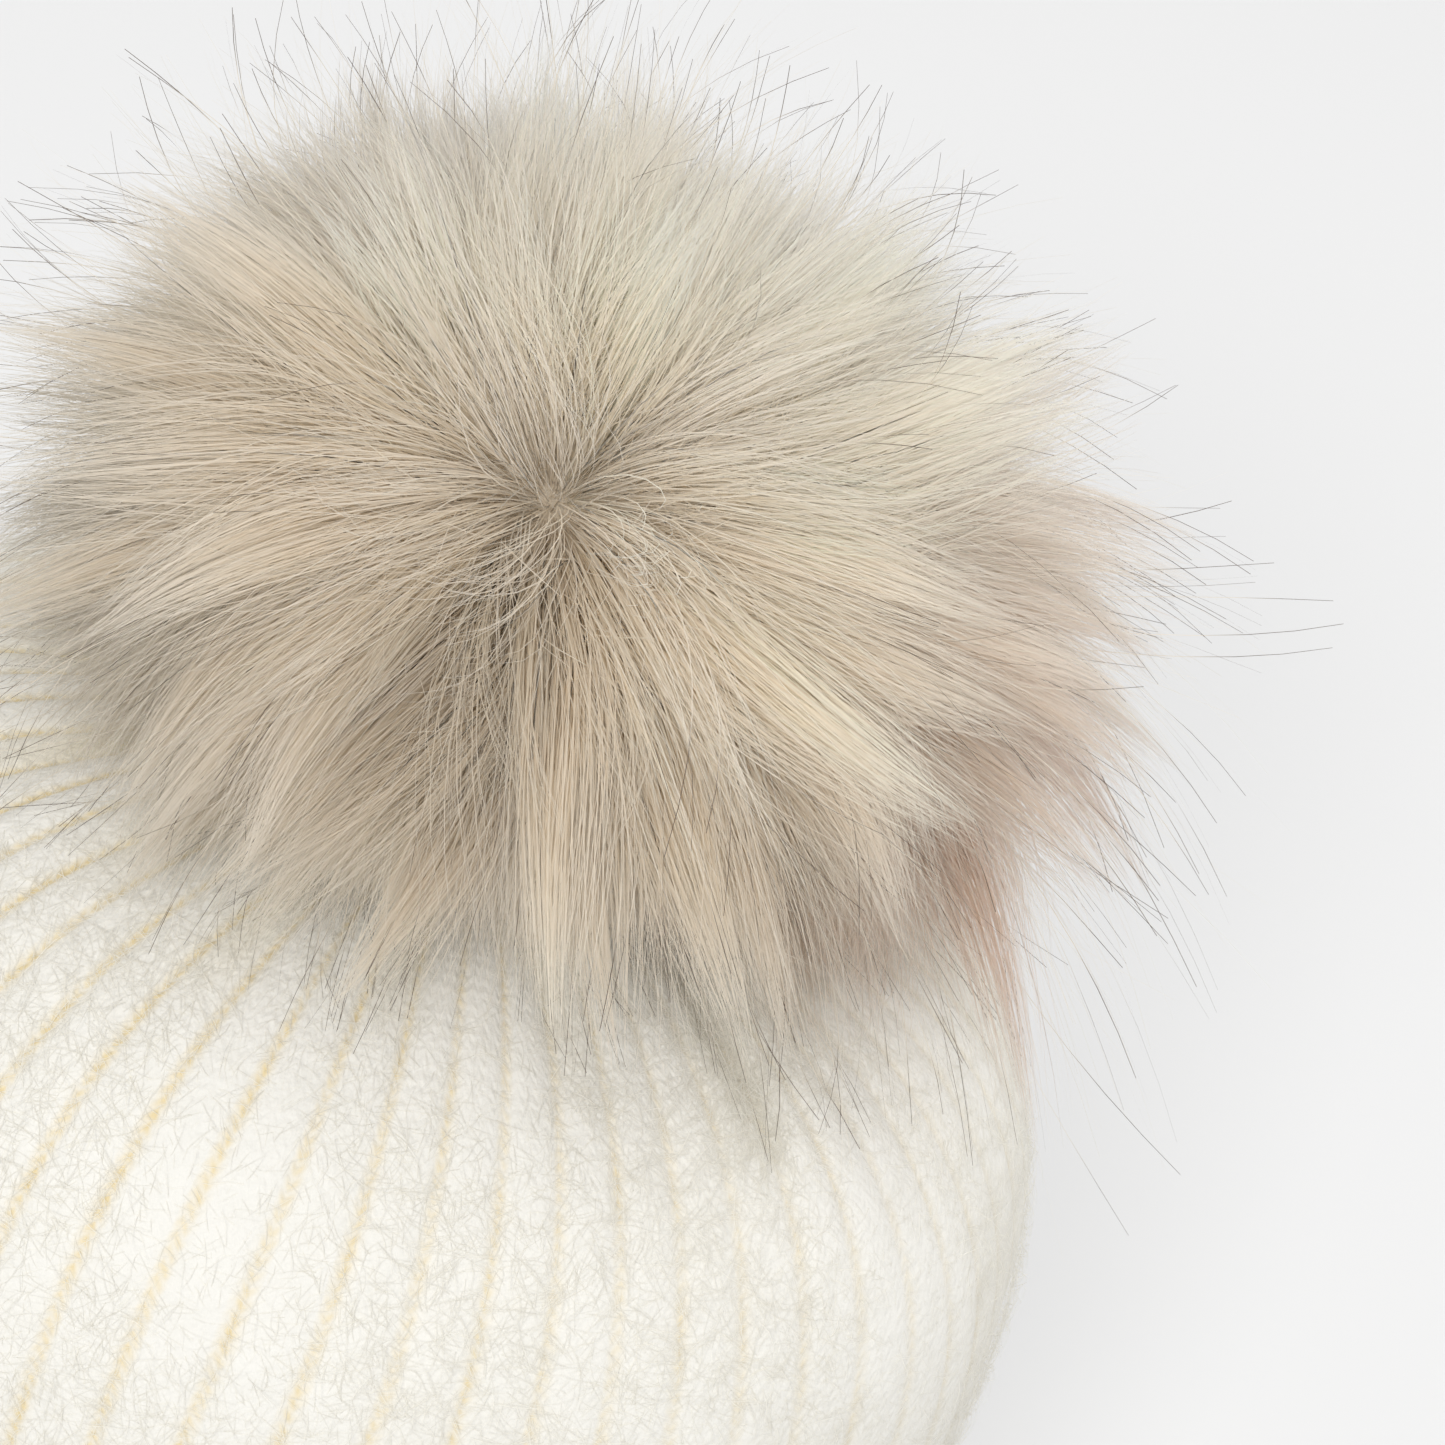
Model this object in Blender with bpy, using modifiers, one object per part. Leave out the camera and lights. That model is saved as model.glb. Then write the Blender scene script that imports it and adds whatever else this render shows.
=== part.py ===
"""Pom pom beanie: a ribbed knit hat with a turn-up cuff and a snap-on faux-fur pom.

Metres, +Z up. The hat stands on its folded rim at z = 0, its axis is the Z axis,
and the wearer faces -Y. The hat is oval: every turned hat piece is squeezed along Y by OVAL.
The pom hangs on a press stud, and its own pieces are round about the same Z axis.
"""
import math

import bpy

# ---- driving dimensions ----
OVAL = 0.86                 # depth of the hat over its width
BELLY_RADIUS = 0.095        # widest half width of the knit body
RIM_RADIUS = 0.0913         # half width of the knit body under the cuff
KNIT = 0.0045               # thickness of the knit wall
HAT_HEIGHT = 0.205          # rim to the flat of the crown
BELLY_HEIGHT = 0.128        # where the crown starts to curve in
SQUARENESS = 2.8            # exponent of the crown's superellipse
CUFF_HEIGHT = 0.060
CUFF_THICKNESS = 0.0052
GAP = 0.0004                # play between two touching pieces
LINING_THICKNESS = 0.0022
LINING_BOTTOM = 0.006
LINING_TOP = 0.066
SEAM_RADIUS = 0.0016
CROWN_HOLE = 0.004          # radius of the hole that the snap's post passes through

LEAN_LIFT = 0.0020          # room under the stud's flange for the pom to lean
POST_RADIUS = 0.0016
CAP_RADIUS = 0.0065
FLANGE_RADIUS = 0.006
BALL_RADIUS = 0.0029
SOCKET_RADIUS = 0.0064
NOD_ROOM = 0.0024           # room between the socket and the pom's base disc

POM_RADIUS = 0.062          # dense fur, at its widest
POM_RISE = 0.050            # how far the fur reaches above its widest level
POM_UNDERSIDE = 0.032       # and below it
POM_LEVEL = 0.247           # height of the fur's widest level
CORE_RADIUS = 0.032         # the stuffed pouch, at its widest
CORE_FLATNESS = 0.66        # its height over its width
CORE_LEVEL = 0.244          # height of the pouch's middle
POUCH_WALL = 0.0015
MOUTH_RADIUS = 0.013        # the pouch's drawn-up mouth
FUR_HOLE = 0.0172           # bare ring around the base disc
DISC_RADIUS = 0.015
DISC_THICKNESS = 0.0012

HAT_STEPS = 48
POM_STEPS = 32
SMALL_STEPS = 24

# ---- levels worked out from them ----
CROWN_INSIDE = HAT_HEIGHT - KNIT
PATCH_TOP = CROWN_INSIDE - 0.0010
PATCH_THICKNESS = 0.0008
CAP_TOP = CROWN_INSIDE - 0.0051
CAP_THICKNESS = 0.0010
FLANGE_BOTTOM = HAT_HEIGHT + LEAN_LIFT
FLANGE_TOP = FLANGE_BOTTOM + 0.0010
BALL_LEVEL = FLANGE_TOP + 0.0024
SOCKET_BOTTOM = FLANGE_TOP + 0.0008
SOCKET_TOP = SOCKET_BOTTOM + 0.0056
DISC_BOTTOM = SOCKET_TOP + NOD_ROOM
DISC_TOP = DISC_BOTTOM + DISC_THICKNESS

COLLECTION = "pom_pom_beanie"


def clear_scene():
    for item in list(bpy.data.objects):
        bpy.data.objects.remove(item, do_unlink=True)


def make_collection(name):
    collection = bpy.data.collections.new(name)
    bpy.context.scene.collection.children.link(collection)
    return collection


def make_material(name, colour, roughness, metallic=0.0):
    material = bpy.data.materials.new(name)
    material.use_nodes = True
    shader = material.node_tree.nodes["Principled BSDF"]
    shader.inputs["Base Color"].default_value = (*colour, 1.0)
    shader.inputs["Roughness"].default_value = roughness
    shader.inputs["Metallic"].default_value = metallic
    return material


def finish_object(item, name, colour, roughness, metallic=0.0):
    """Name the object, give it its material and shade it smooth with sharp edges kept."""
    item.name = name
    item.data.name = name
    item.data.materials.clear()
    item.data.materials.append(make_material(name, colour, roughness, metallic))
    if item.type == "MESH":
        item.data.shade_smooth()
    return item


def turned(name, profile, steps, look, closed=False, oval=1.0):
    """A Screw-turned solid. The profile runs down its outer side, top to bottom."""
    mesh = bpy.data.meshes.new(name)
    count = len(profile)
    edges = [(i, i + 1) for i in range(count - 1)]
    if closed:
        edges.append((count - 1, 0))
    mesh.from_pydata([(radius, 0.0, height) for radius, height in profile], edges, [])
    item = bpy.data.objects.new(name, mesh)
    PARTS.objects.link(item)
    screw = item.modifiers.new("turn", "SCREW")
    screw.axis = "Z"
    screw.angle = math.tau
    screw.steps = steps
    screw.render_steps = steps
    screw.use_merge_vertices = True
    screw.merge_threshold = 0.00001
    screw.use_smooth_shade = True
    item.scale = (1.0, oval, 1.0)
    return finish_object(item, name, *look)


def ring(name, radius, wire, height, look, oval=1.0, major=40, minor=10):
    """A torus lying flat at a height."""
    bpy.ops.mesh.primitive_torus_add(
        major_radius=radius, minor_radius=wire, major_segments=major, minor_segments=minor,
        location=(0.0, 0.0, height))
    item = bpy.context.active_object
    move_to_parts(item)
    item.scale = (1.0, oval, 1.0)
    return finish_object(item, name, *look)


def thread(name, points, wire, look):
    """A round thread along a run of points, with filled ends."""
    curve = bpy.data.curves.new(name, "CURVE")
    curve.dimensions = "3D"
    curve.bevel_depth = wire
    curve.bevel_resolution = 2
    curve.use_fill_caps = True
    curve.render_resolution_u = 0
    spline = curve.splines.new("POLY")
    spline.points.add(len(points) - 1)
    for point, place in zip(spline.points, points):
        point.co = (*place, 1.0)
    item = bpy.data.objects.new(name, curve)
    PARTS.objects.link(item)
    return finish_object(item, name, *look)


def move_to_parts(item):
    for collection in list(item.users_collection):
        collection.objects.unlink(item)
    PARTS.objects.link(item)


def crown_arc(radius, top, count, hole):
    """The crown's curve from the edge of its hole down to the belly, as (radius, height)."""
    rise = top - BELLY_HEIGHT
    power = 2.0 / SQUARENESS
    first = math.asin((hole / radius) ** (1.0 / power))
    arc = []
    for i in range(count):
        angle = first + (math.pi / 2 - first) * i / (count - 1)
        arc.append((radius * math.sin(angle) ** power,
                    BELLY_HEIGHT + rise * max(math.cos(angle), 0.0) ** power))
    return arc


def belly_run(belly, rim, count):
    """The side from just below the belly down to the top of the cuff, easing in to the rim."""
    top = BELLY_HEIGHT
    bottom = CUFF_HEIGHT + 0.004
    run = []
    for i in range(1, count + 1):
        share = i / count
        ease = share * share * (3.0 - 2.0 * share)
        run.append((belly + (rim - belly) * ease, top + (bottom - top) * share))
    return run


def wall_side(offset):
    """One face of the knit wall, from the crown hole down to the rim."""
    arc = crown_arc(BELLY_RADIUS - offset, HAT_HEIGHT - offset, 12, CROWN_HOLE)
    arc[0] = (CROWN_HOLE, HAT_HEIGHT - offset)
    side = belly_run(BELLY_RADIUS - offset, RIM_RADIUS - offset, 3)
    return arc + side + [(RIM_RADIUS - offset, 0.0)]


def oval_arc(radius, rise, level, first, last, count):
    """Points on an ellipse in the profile plane; angles from the top, in degrees."""
    arc = []
    for i in range(count):
        angle = math.radians(first + (last - first) * i / (count - 1))
        arc.append((radius * math.sin(angle), level + rise * math.cos(angle)))
    return arc


def make_knit():
    """The knit wall with its hole for the snap, and the cuff folded up around it."""
    cream = ((0.87, 0.84, 0.77), 0.9)
    turned("knit_body", wall_side(0.0) + wall_side(KNIT)[::-1], HAT_STEPS, cream, True, OVAL)
    inner = RIM_RADIUS + GAP
    outer = inner + CUFF_THICKNESS
    round_off = CUFF_THICKNESS * 0.45
    profile = [(inner + 0.0006, CUFF_HEIGHT), (outer - round_off, CUFF_HEIGHT)]
    for height, sign in ((CUFF_HEIGHT - round_off, 1), (round_off, -1)):
        for i in (1, 2, 3) if sign > 0 else (0, 1, 2):
            angle = math.radians(30 * i if sign > 0 else 90 - 30 * i)
            profile.append((outer - round_off + round_off * math.sin(angle),
                            height + sign * round_off * math.cos(angle)))
    profile += [(outer - round_off, 0.0), (inner, 0.0), (inner, CUFF_HEIGHT - 0.001)]
    turned("turn_up_cuff", profile, HAT_STEPS, cream, True, OVAL)


def make_lining():
    """The fleece band behind the brow, with the thread that holds its top edge."""
    fleece = ((0.85, 0.82, 0.75), 0.95)
    outer = RIM_RADIUS - KNIT - GAP
    inner = outer - LINING_THICKNESS
    profile = [(inner + 0.0005, LINING_TOP), (outer, LINING_TOP - 0.0005), (outer, LINING_BOTTOM),
               (inner + 0.0005, LINING_BOTTOM), (inner, LINING_BOTTOM + 0.0005),
               (inner, LINING_TOP - 0.0005)]
    turned("lining_band", profile, HAT_STEPS, fleece, True, OVAL)
    ring("lining_thread", inner - 0.0009, 0.0003, LINING_TOP - 0.004,
         ((0.8, 0.76, 0.68), 0.7), OVAL, HAT_STEPS, 6)


def make_seam():
    """The back seam's rolled allowance, inside the wall at +Y, from the lining to the crown."""
    path = []
    for radius, height in wall_side(KNIT):
        if radius < 0.026 or height < LINING_TOP + 0.003:
            continue
        reach = radius * OVAL - SEAM_RADIUS - 0.0011
        drop = 0.0022 * max(0.0, (height - BELLY_HEIGHT) / (CROWN_INSIDE - BELLY_HEIGHT))
        path.append((0.0, reach, height - drop))
    thread("back_seam", path, SEAM_RADIUS, ((0.84, 0.8, 0.72), 0.9))


def make_crown_stay():
    """The yarn that draws the crown shut, and the sewn patch that backs the snap."""
    ring("crown_gather_yarn", 0.021, 0.0010, CROWN_INSIDE - 0.0030,
         ((0.86, 0.83, 0.76), 0.85), OVAL, 40, 8)
    edge = 0.015
    bottom = PATCH_TOP - PATCH_THICKNESS
    profile = [(CROWN_HOLE, PATCH_TOP), (edge, PATCH_TOP), (edge, bottom), (CROWN_HOLE, bottom)]
    turned("crown_patch", profile, 32, ((0.8, 0.77, 0.7), 0.85), True)
    ring("crown_patch_thread", 0.013, 0.0003, bottom - 0.0006, ((0.75, 0.71, 0.63), 0.7), 1.0, 40, 6)


def make_label():
    """A blank care label inside the back, right of the seam, and its line of stitching."""
    width = 0.022
    length = 0.030
    centre = (0.0145, 0.0700, LINING_TOP + 0.003 + length / 2)
    bpy.ops.mesh.primitive_cube_add(size=1.0, location=centre)
    label = bpy.context.active_object
    move_to_parts(label)
    label.scale = (width, 0.0005, length)
    finish_object(label, "care_label", (0.9, 0.9, 0.88), 0.6)
    label.data.shade_flat()
    top = centre[2] + length / 2 - 0.003
    reach = centre[1] - 0.0009
    row = [(centre[0] - width / 2 + 0.0015 + 0.0019 * i, reach, top) for i in range(11)]
    thread("care_label_thread", row, 0.00025, ((0.82, 0.8, 0.74), 0.7))


def make_tacks():
    """Four short bar tacks on the cuff's top edge, midway between front, back and sides."""
    wire = 0.0006
    radius = RIM_RADIUS + GAP + CUFF_THICKNESS + GAP + wire
    for number in range(4):
        turn = math.radians(45 + 90 * number)
        bow = (radius * math.cos(turn), radius * OVAL * math.sin(turn))
        rows = [(*bow, CUFF_HEIGHT - 0.004 - 0.002 * i) for i in range(4)]
        thread(f"cuff_tack_{number + 1}", rows, wire, ((0.84, 0.81, 0.73), 0.8))


def make_snap_on_hat():
    """The stud's half of the snap: a cap with a post inside the crown, the stud outside."""
    steel = ((0.62, 0.62, 0.63), 0.3, 1.0)
    bottom = CAP_TOP - CAP_THICKNESS
    top = FLANGE_BOTTOM - 0.0003
    cap = [(0.0, top), (POST_RADIUS - 0.0003, top), (POST_RADIUS, top - 0.0003), (POST_RADIUS, CAP_TOP),
           (CAP_RADIUS - 0.0003, CAP_TOP), (CAP_RADIUS, CAP_TOP - 0.0004),
           (CAP_RADIUS - 0.0012, bottom - 0.0003), (CAP_RADIUS - 0.0035, bottom - 0.0007),
           (0.0, bottom - 0.0008)]
    turned("snap_cap", cap, SMALL_STEPS, steel)
    neck = BALL_RADIUS * 0.72
    stud = oval_arc(BALL_RADIUS, BALL_RADIUS, BALL_LEVEL, 0.0, 134.0, 9)
    stud[0] = (0.0, BALL_LEVEL + BALL_RADIUS)
    stud += [(neck, FLANGE_TOP), (FLANGE_RADIUS - 0.0003, FLANGE_TOP),
             (FLANGE_RADIUS, FLANGE_TOP - 0.0003), (FLANGE_RADIUS - 0.0002, FLANGE_BOTTOM),
             (0.0, FLANGE_BOTTOM)]
    turned("snap_stud", stud, SMALL_STEPS, steel)


def make_snap_on_pom():
    """The socket's half: the spring ring, the socket, its back plate and the stiff base disc."""
    steel = ((0.62, 0.62, 0.63), 0.3, 1.0)
    ring("snap_spring", 0.0038, 0.0003, BALL_LEVEL + 0.0003, ((0.7, 0.68, 0.62), 0.25, 1.0), 1.0, 32, 8)
    inner = 0.0045
    lip = 0.0036
    rivet_hole = 0.0018
    plate = SOCKET_TOP - 0.0007
    socket = [(rivet_hole, SOCKET_TOP), (SOCKET_RADIUS - 0.0004, SOCKET_TOP),
              (SOCKET_RADIUS, SOCKET_TOP - 0.0004), (SOCKET_RADIUS, SOCKET_BOTTOM + 0.0003),
              (SOCKET_RADIUS - 0.0003, SOCKET_BOTTOM), (lip, SOCKET_BOTTOM),
              (lip, SOCKET_BOTTOM + 0.0007), (inner, SOCKET_BOTTOM + 0.0007), (inner, plate),
              (rivet_hole, plate)]
    turned("snap_socket", socket, SMALL_STEPS, steel, True)
    post = 0.0015
    back_radius = 0.005
    back = [(0.0, DISC_TOP + 0.0011), (back_radius - 0.001, DISC_TOP + 0.0010),
            (back_radius, DISC_TOP + 0.0003), (post, DISC_TOP + 0.0003),
            (post, DISC_BOTTOM - 0.0010), (0.0, DISC_BOTTOM - 0.0010)]
    turned("snap_back", back, SMALL_STEPS, steel)
    hole = 0.0019
    disc = [(hole, DISC_TOP), (DISC_RADIUS - 0.0004, DISC_TOP), (DISC_RADIUS, DISC_TOP - 0.0004),
            (DISC_RADIUS, DISC_BOTTOM + 0.0004), (DISC_RADIUS - 0.0004, DISC_BOTTOM),
            (hole, DISC_BOTTOM)]
    turned("pom_base_disc", disc, POM_STEPS, ((0.78, 0.72, 0.62), 0.7), True)


def make_pouch():
    """The fur cloth's woven ground drawn up into a pouch, its drawstring and its stuffing."""
    rise = CORE_RADIUS * CORE_FLATNESS
    mouth_turn = math.asin(MOUTH_RADIUS / CORE_RADIUS)
    mouth = 180.0 - math.degrees(mouth_turn)
    outer_arc = oval_arc(CORE_RADIUS, rise, CORE_LEVEL, 0.0, mouth, 10)
    inner_arc = oval_arc(CORE_RADIUS - POUCH_WALL, rise - POUCH_WALL, CORE_LEVEL, mouth, 0.0, 9)
    outer_arc[0] = (0.0, CORE_LEVEL + rise)
    inner_arc[-1] = (0.0, CORE_LEVEL + rise - POUCH_WALL)
    turned("pom_backing", outer_arc + inner_arc, POM_STEPS, ((0.7, 0.62, 0.5), 0.9))
    string = 0.0008
    mouth_level = CORE_LEVEL - rise * math.cos(mouth_turn)
    ring("pom_drawstring", MOUTH_RADIUS - 0.0005, string, mouth_level - string - GAP * 2,
         ((0.75, 0.7, 0.6), 0.8), 1.0, 36, 8)
    play = POUCH_WALL + 0.0006
    ball = oval_arc(CORE_RADIUS - play, rise - play, CORE_LEVEL, 0.0, 180.0, 12)
    ball[0] = (0.0, ball[0][1])
    ball[-1] = (0.0, ball[-1][1])
    turned("pom_stuffing", ball, POM_STEPS, ((0.92, 0.92, 0.9), 0.95))


def make_fur():
    """The pile as one soft solid: an oval ball, hollow for the pouch, open underneath."""
    profile = oval_arc(POM_RADIUS, POM_RISE, POM_LEVEL, 0.0, 90.0, 9)
    profile[0] = (0.0, POM_LEVEL + POM_RISE)
    foot = FUR_HOLE + 0.005
    lowest = 180.0 - math.degrees(math.asin(foot / POM_RADIUS))
    profile += oval_arc(POM_RADIUS, POM_UNDERSIDE, POM_LEVEL, 90.0, lowest, 8)[1:]
    profile.append((FUR_HOLE + 0.0015, profile[-1][1] + 0.0008))
    play = GAP * 3
    cavity = CORE_RADIUS + play
    cavity_rise = CORE_RADIUS * CORE_FLATNESS + play
    meet = 180.0 - math.degrees(math.asin(FUR_HOLE / cavity))
    arc = oval_arc(cavity, cavity_rise, CORE_LEVEL, meet, 0.0, 9)
    arc[-1] = (0.0, CORE_LEVEL + cavity_rise)
    turned("pom_fur", profile + arc, POM_STEPS, ((0.68, 0.6, 0.49), 0.85))


clear_scene()
PARTS = make_collection(COLLECTION)
make_knit()
make_lining()
make_seam()
make_crown_stay()
make_label()
make_tacks()
make_snap_on_hat()
make_snap_on_pom()
make_pouch()
make_fur()
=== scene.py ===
"""Pom pom beanie: the looks. A brushed rib-knit hat with a faux-fur pom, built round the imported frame.

Metres, +Z up, the wearer faces -Y. Fur and fuzz are real strands, made as narrow ribbons.
"""
import math

import bpy
import numpy as np
from mathutils import Matrix, Vector


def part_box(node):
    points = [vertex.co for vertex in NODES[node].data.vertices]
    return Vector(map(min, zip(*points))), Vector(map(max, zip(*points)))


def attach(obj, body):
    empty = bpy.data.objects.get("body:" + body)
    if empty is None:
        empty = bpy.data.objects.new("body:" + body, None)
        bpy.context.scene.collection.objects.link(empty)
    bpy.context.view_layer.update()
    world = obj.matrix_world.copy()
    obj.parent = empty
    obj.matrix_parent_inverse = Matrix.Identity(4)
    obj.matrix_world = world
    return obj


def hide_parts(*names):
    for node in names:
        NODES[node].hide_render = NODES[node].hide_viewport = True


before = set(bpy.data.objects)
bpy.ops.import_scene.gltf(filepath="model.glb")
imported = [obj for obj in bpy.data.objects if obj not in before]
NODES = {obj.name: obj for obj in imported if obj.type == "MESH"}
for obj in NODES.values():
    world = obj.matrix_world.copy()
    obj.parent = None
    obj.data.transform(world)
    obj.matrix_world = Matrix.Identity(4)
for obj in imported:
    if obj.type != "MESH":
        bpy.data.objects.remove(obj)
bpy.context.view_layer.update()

# ---- sizes read from the frame ----
BODY_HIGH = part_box("knit_body")[1]
CUFF_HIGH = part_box("turn_up_cuff")[1]
POUCH_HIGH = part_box("pom_backing")[1]
LINING_LOW, LINING_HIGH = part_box("lining_band")
FUR_LOW, FUR_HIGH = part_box("pom_fur")

BELLY = BODY_HIGH.x                       # widest half width of the hat
OVAL = BODY_HIGH.y / BODY_HIGH.x          # its depth over its width
CROWN = BODY_HIGH.z                       # height of the crown
CUFF_TOP = CUFF_HIGH.z
CUFF_OUT = CUFF_HIGH.x
CORE = POUCH_HIGH.x                       # radius of the stuffed pouch
CORE_RISE = CORE * 0.66                   # and its half height
CORE_LEVEL = POUCH_HIGH.z - CORE_RISE
POM = FUR_HIGH.x                          # radius of the dense fur
POM_LEVEL = 0.247                         # height of its widest level

# ---- sizes of the knit, as part.py has them ----
KNIT = 0.0045
BELLY_LEVEL = 0.128
SQUARENESS = 2.8
RIM = 0.0913
EASE_END = 0.064                          # where the side has come in to the rim's width
RIBS = 56
RIB_DEPTH = 0.0012
STITCH = 0.0021
RIB_MIDDLE = 0.75                         # the rib height that lies on the smooth wall
OWN_SIDE = 0.20                           # share of a strand's own side in its shading

DENSITY = 1.0
UP = np.array([0.0, 0.0, 1.0])
AXIS = 0.0002                             # the least radius, beside the axis
VIEW_ELEVATION = math.radians(36.0)
VIEW_ROLL = math.radians(-22.0)


# ---- materials ----
class Finish:
    """A Principled material with short ways to add to its nodes; a value is a socket, number or colour."""

    def __init__(self, name, colour, roughness, sheen=0.0, metallic=0.0):
        self.material = bpy.data.materials.new(name)
        self.material.use_nodes = True
        self.tree = self.material.node_tree
        self.shader = self.tree.nodes["Principled BSDF"]
        values = {"Base Color": colour, "Roughness": roughness, "Metallic": metallic, "Sheen Weight": sheen,
                  "Sheen Roughness": 0.5, "Specular IOR Level": 0.25}
        for key, value in values.items():
            self.set(key, value)

    def feed(self, socket, value):
        """Link a socket into an input, or set the input to a number or a colour."""
        if isinstance(value, bpy.types.NodeSocket):
            self.tree.links.new(value, socket)
        else:
            socket.default_value = (*value, 1.0) if isinstance(value, tuple) else value

    def set(self, key, value):
        self.feed(self.shader.inputs[key], value)

    def add(self, kind, values=(), **settings):
        """A node with its settings, and its first inputs' values in order."""
        node = self.tree.nodes.new(kind)
        for key, value in settings.items():
            setattr(node, key, value)
        for socket, value in zip(node.inputs, values):
            self.feed(socket, value)
        return node

    def math(self, operation, *values):
        return self.add("ShaderNodeMath", values, operation=operation).outputs[0]

    def mix(self, share, first, second):
        node = self.add("ShaderNodeMix", (share,), data_type="RGBA")
        for name, value in (("A", first), ("B", second)):
            self.feed([s for s in node.inputs if s.name == name and s.type == "RGBA"][0], value)
        return [s for s in node.outputs if s.type == "RGBA"][0]

    def place(self):
        return self.add("ShaderNodeTexCoord").outputs["Object"]

    def parts(self, vector):
        """The three parts of a vector, as sockets."""
        return self.add("ShaderNodeSeparateXYZ", (vector,)).outputs

    def noise(self, scale, detail=2.0):
        node = self.add("ShaderNodeTexNoise")
        for key, value in (("Scale", scale), ("Detail", detail), ("Vector", self.place())):
            self.feed(node.inputs[key], value)
        return node.outputs["Fac"]

    def bump(self, height, strength, distance):
        node = self.add("ShaderNodeBump")
        for key, value in (("Strength", strength), ("Distance", distance), ("Height", height)):
            self.feed(node.inputs[key], value)
        self.set("Normal", node.outputs["Normal"])


def strand_material(name, roughness, glow):
    """Fibres that let some light through; the colour is painted along each strand as its tint."""
    finish = Finish(name, (0.7, 0.65, 0.55), roughness)
    tint = finish.add("ShaderNodeVertexColor", layer_name="tint").outputs["Color"]
    finish.set("Base Color", tint)
    through = finish.add("ShaderNodeBsdfTranslucent", (tint,)).outputs["BSDF"]
    both = finish.add("ShaderNodeMixShader", (glow, finish.shader.outputs["BSDF"], through))
    finish.feed(finish.tree.nodes["Material Output"].inputs["Surface"], both.outputs["Shader"])
    return finish.material


# ---- meshes ----
def mesh_object(name, points, faces, material):
    """A smooth mesh object from numpy points and quads."""
    points = np.asarray(points, np.float32).reshape(-1, 3)
    mesh = bpy.data.meshes.new(name)
    mesh.vertices.add(len(points))
    mesh.vertices.foreach_set("co", points.ravel())
    mesh.loops.add(faces.size)
    mesh.loops.foreach_set("vertex_index", faces.astype(np.int32).ravel())
    mesh.polygons.add(len(faces))
    mesh.polygons.foreach_set("loop_start", np.arange(len(faces), dtype=np.int32) * faces.shape[1])
    mesh.update(calc_edges=True)
    mesh.materials.append(material)
    mesh.shade_smooth()
    item = bpy.data.objects.new(name, mesh)
    bpy.context.scene.collection.objects.link(item)
    return item


def paint(item, layer, colours):
    """A colour layer, from one red, green and blue for each point."""
    rgba = np.ones((len(item.data.vertices), 4), np.float32)
    rgba[:, :3] = colours.reshape(-1, 3)
    item.data.color_attributes.new(layer, "FLOAT_COLOR", "POINT").data.foreach_set("color", rgba.ravel())


def unit(vectors):
    return vectors / np.maximum(np.linalg.norm(vectors, axis=-1, keepdims=True), 1e-12)


def toward(x, y, z):
    return unit(np.array([x, y, z]))


def polar(radius, azimuth, height, oval=1.0):
    """Points at a radius, azimuth and height, on circles pressed to an oval."""
    x = radius * np.cos(azimuth)
    y = radius * oval * np.sin(azimuth)
    return np.stack(np.broadcast_arrays(x, y, height), axis=-1)


def ribbons(name, paths, widths, roll, colours, material, facing, soft=True):
    """Strands as flat ribbons, shaded by the pile's own outward direction so that it looks soft.

    paths and colours are (n, k, 3), widths (n, k), roll (n, 3), facing (n, k, 3).
    """
    count, steps = paths.shape[:2]
    along = unit(np.gradient(paths, axis=1))
    middle = facing[:, steps // 2]
    roll = roll * np.where((roll * middle).sum(axis=1, keepdims=True) < 0.0, -1.0, 1.0)
    side = unit(np.cross(along, roll[:, None, :])) * widths[:, :, None] / 2
    first = (np.arange(count) * steps * 2)[:, None] + np.arange(steps - 1) * 2
    faces = np.stack([first, first + 1, first + 3, first + 2], axis=-1).reshape(-1, 4)
    item = mesh_object(name, np.stack([paths - side, paths + side], axis=2), faces, material)
    if soft:
        flat = unit(np.cross(side, along))
        inward = (facing * along).sum(axis=-1, keepdims=True)
        normals = unit(facing - 0.55 * inward * along + OWN_SIDE * flat)
        item.data.normals_split_custom_set_from_vertices(np.repeat(normals.reshape(-1, 3), 2, axis=0))
    paint(item, "tint", np.repeat(colours.reshape(-1, 3), 2, axis=0))
    return item


def grid_faces(rows, columns, wrap=True, close=False):
    """Quads of a rows by columns grid, closed round the columns with wrap, and round the rows with close."""
    row = np.arange(rows if close else rows - 1)[:, None] * columns
    below = (row + columns) % (rows * columns)
    here = np.arange(columns if wrap else columns - 1)
    there = (here + 1) % columns
    return np.stack([row + here, below + here, below + there, row + there], axis=-1).reshape(-1, 4)


def revolve(name, profile, columns, oval, material, relief=None):
    """A turned closed section; the profile of (radius, height) runs down its outer side.

    relief, if given, takes azimuth, radius and height arrays and returns how far each point moves out.
    """
    radius, height = np.array(profile).T[:, :, None]
    azimuth = np.linspace(0.0, math.tau, columns, endpoint=False)[None, :]
    if relief is not None:
        radius = radius + relief(azimuth, radius, height)
    points = polar(radius, azimuth, height, oval)
    return mesh_object(name, points, grid_faces(len(profile), columns, close=True), material)


def tubes(name, paths, radii, out, material, closed=False, sides=8):
    """Round strands along (n, k, 3) paths, with radii for each point; out is any direction across."""
    count, steps = paths.shape[:2]
    if closed:
        along = unit(np.roll(paths, -1, axis=1) - np.roll(paths, 1, axis=1))
    else:
        along = unit(np.gradient(paths, axis=1))
    first = unit(np.cross(along, out))
    second = np.cross(first, along)
    angle = np.linspace(0.0, math.tau, sides, endpoint=False)[:, None]
    radii = np.broadcast_to(radii, paths.shape[:2])[:, :, None, None]
    spokes = first[:, :, None] * np.cos(angle) + second[:, :, None] * np.sin(angle)
    points = paths[:, :, None] + radii * spokes
    faces = grid_faces(steps, sides, close=closed) + (np.arange(count) * steps * sides)[:, None, None]
    return mesh_object(name, points, faces.reshape(-1, 4), material)


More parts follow.
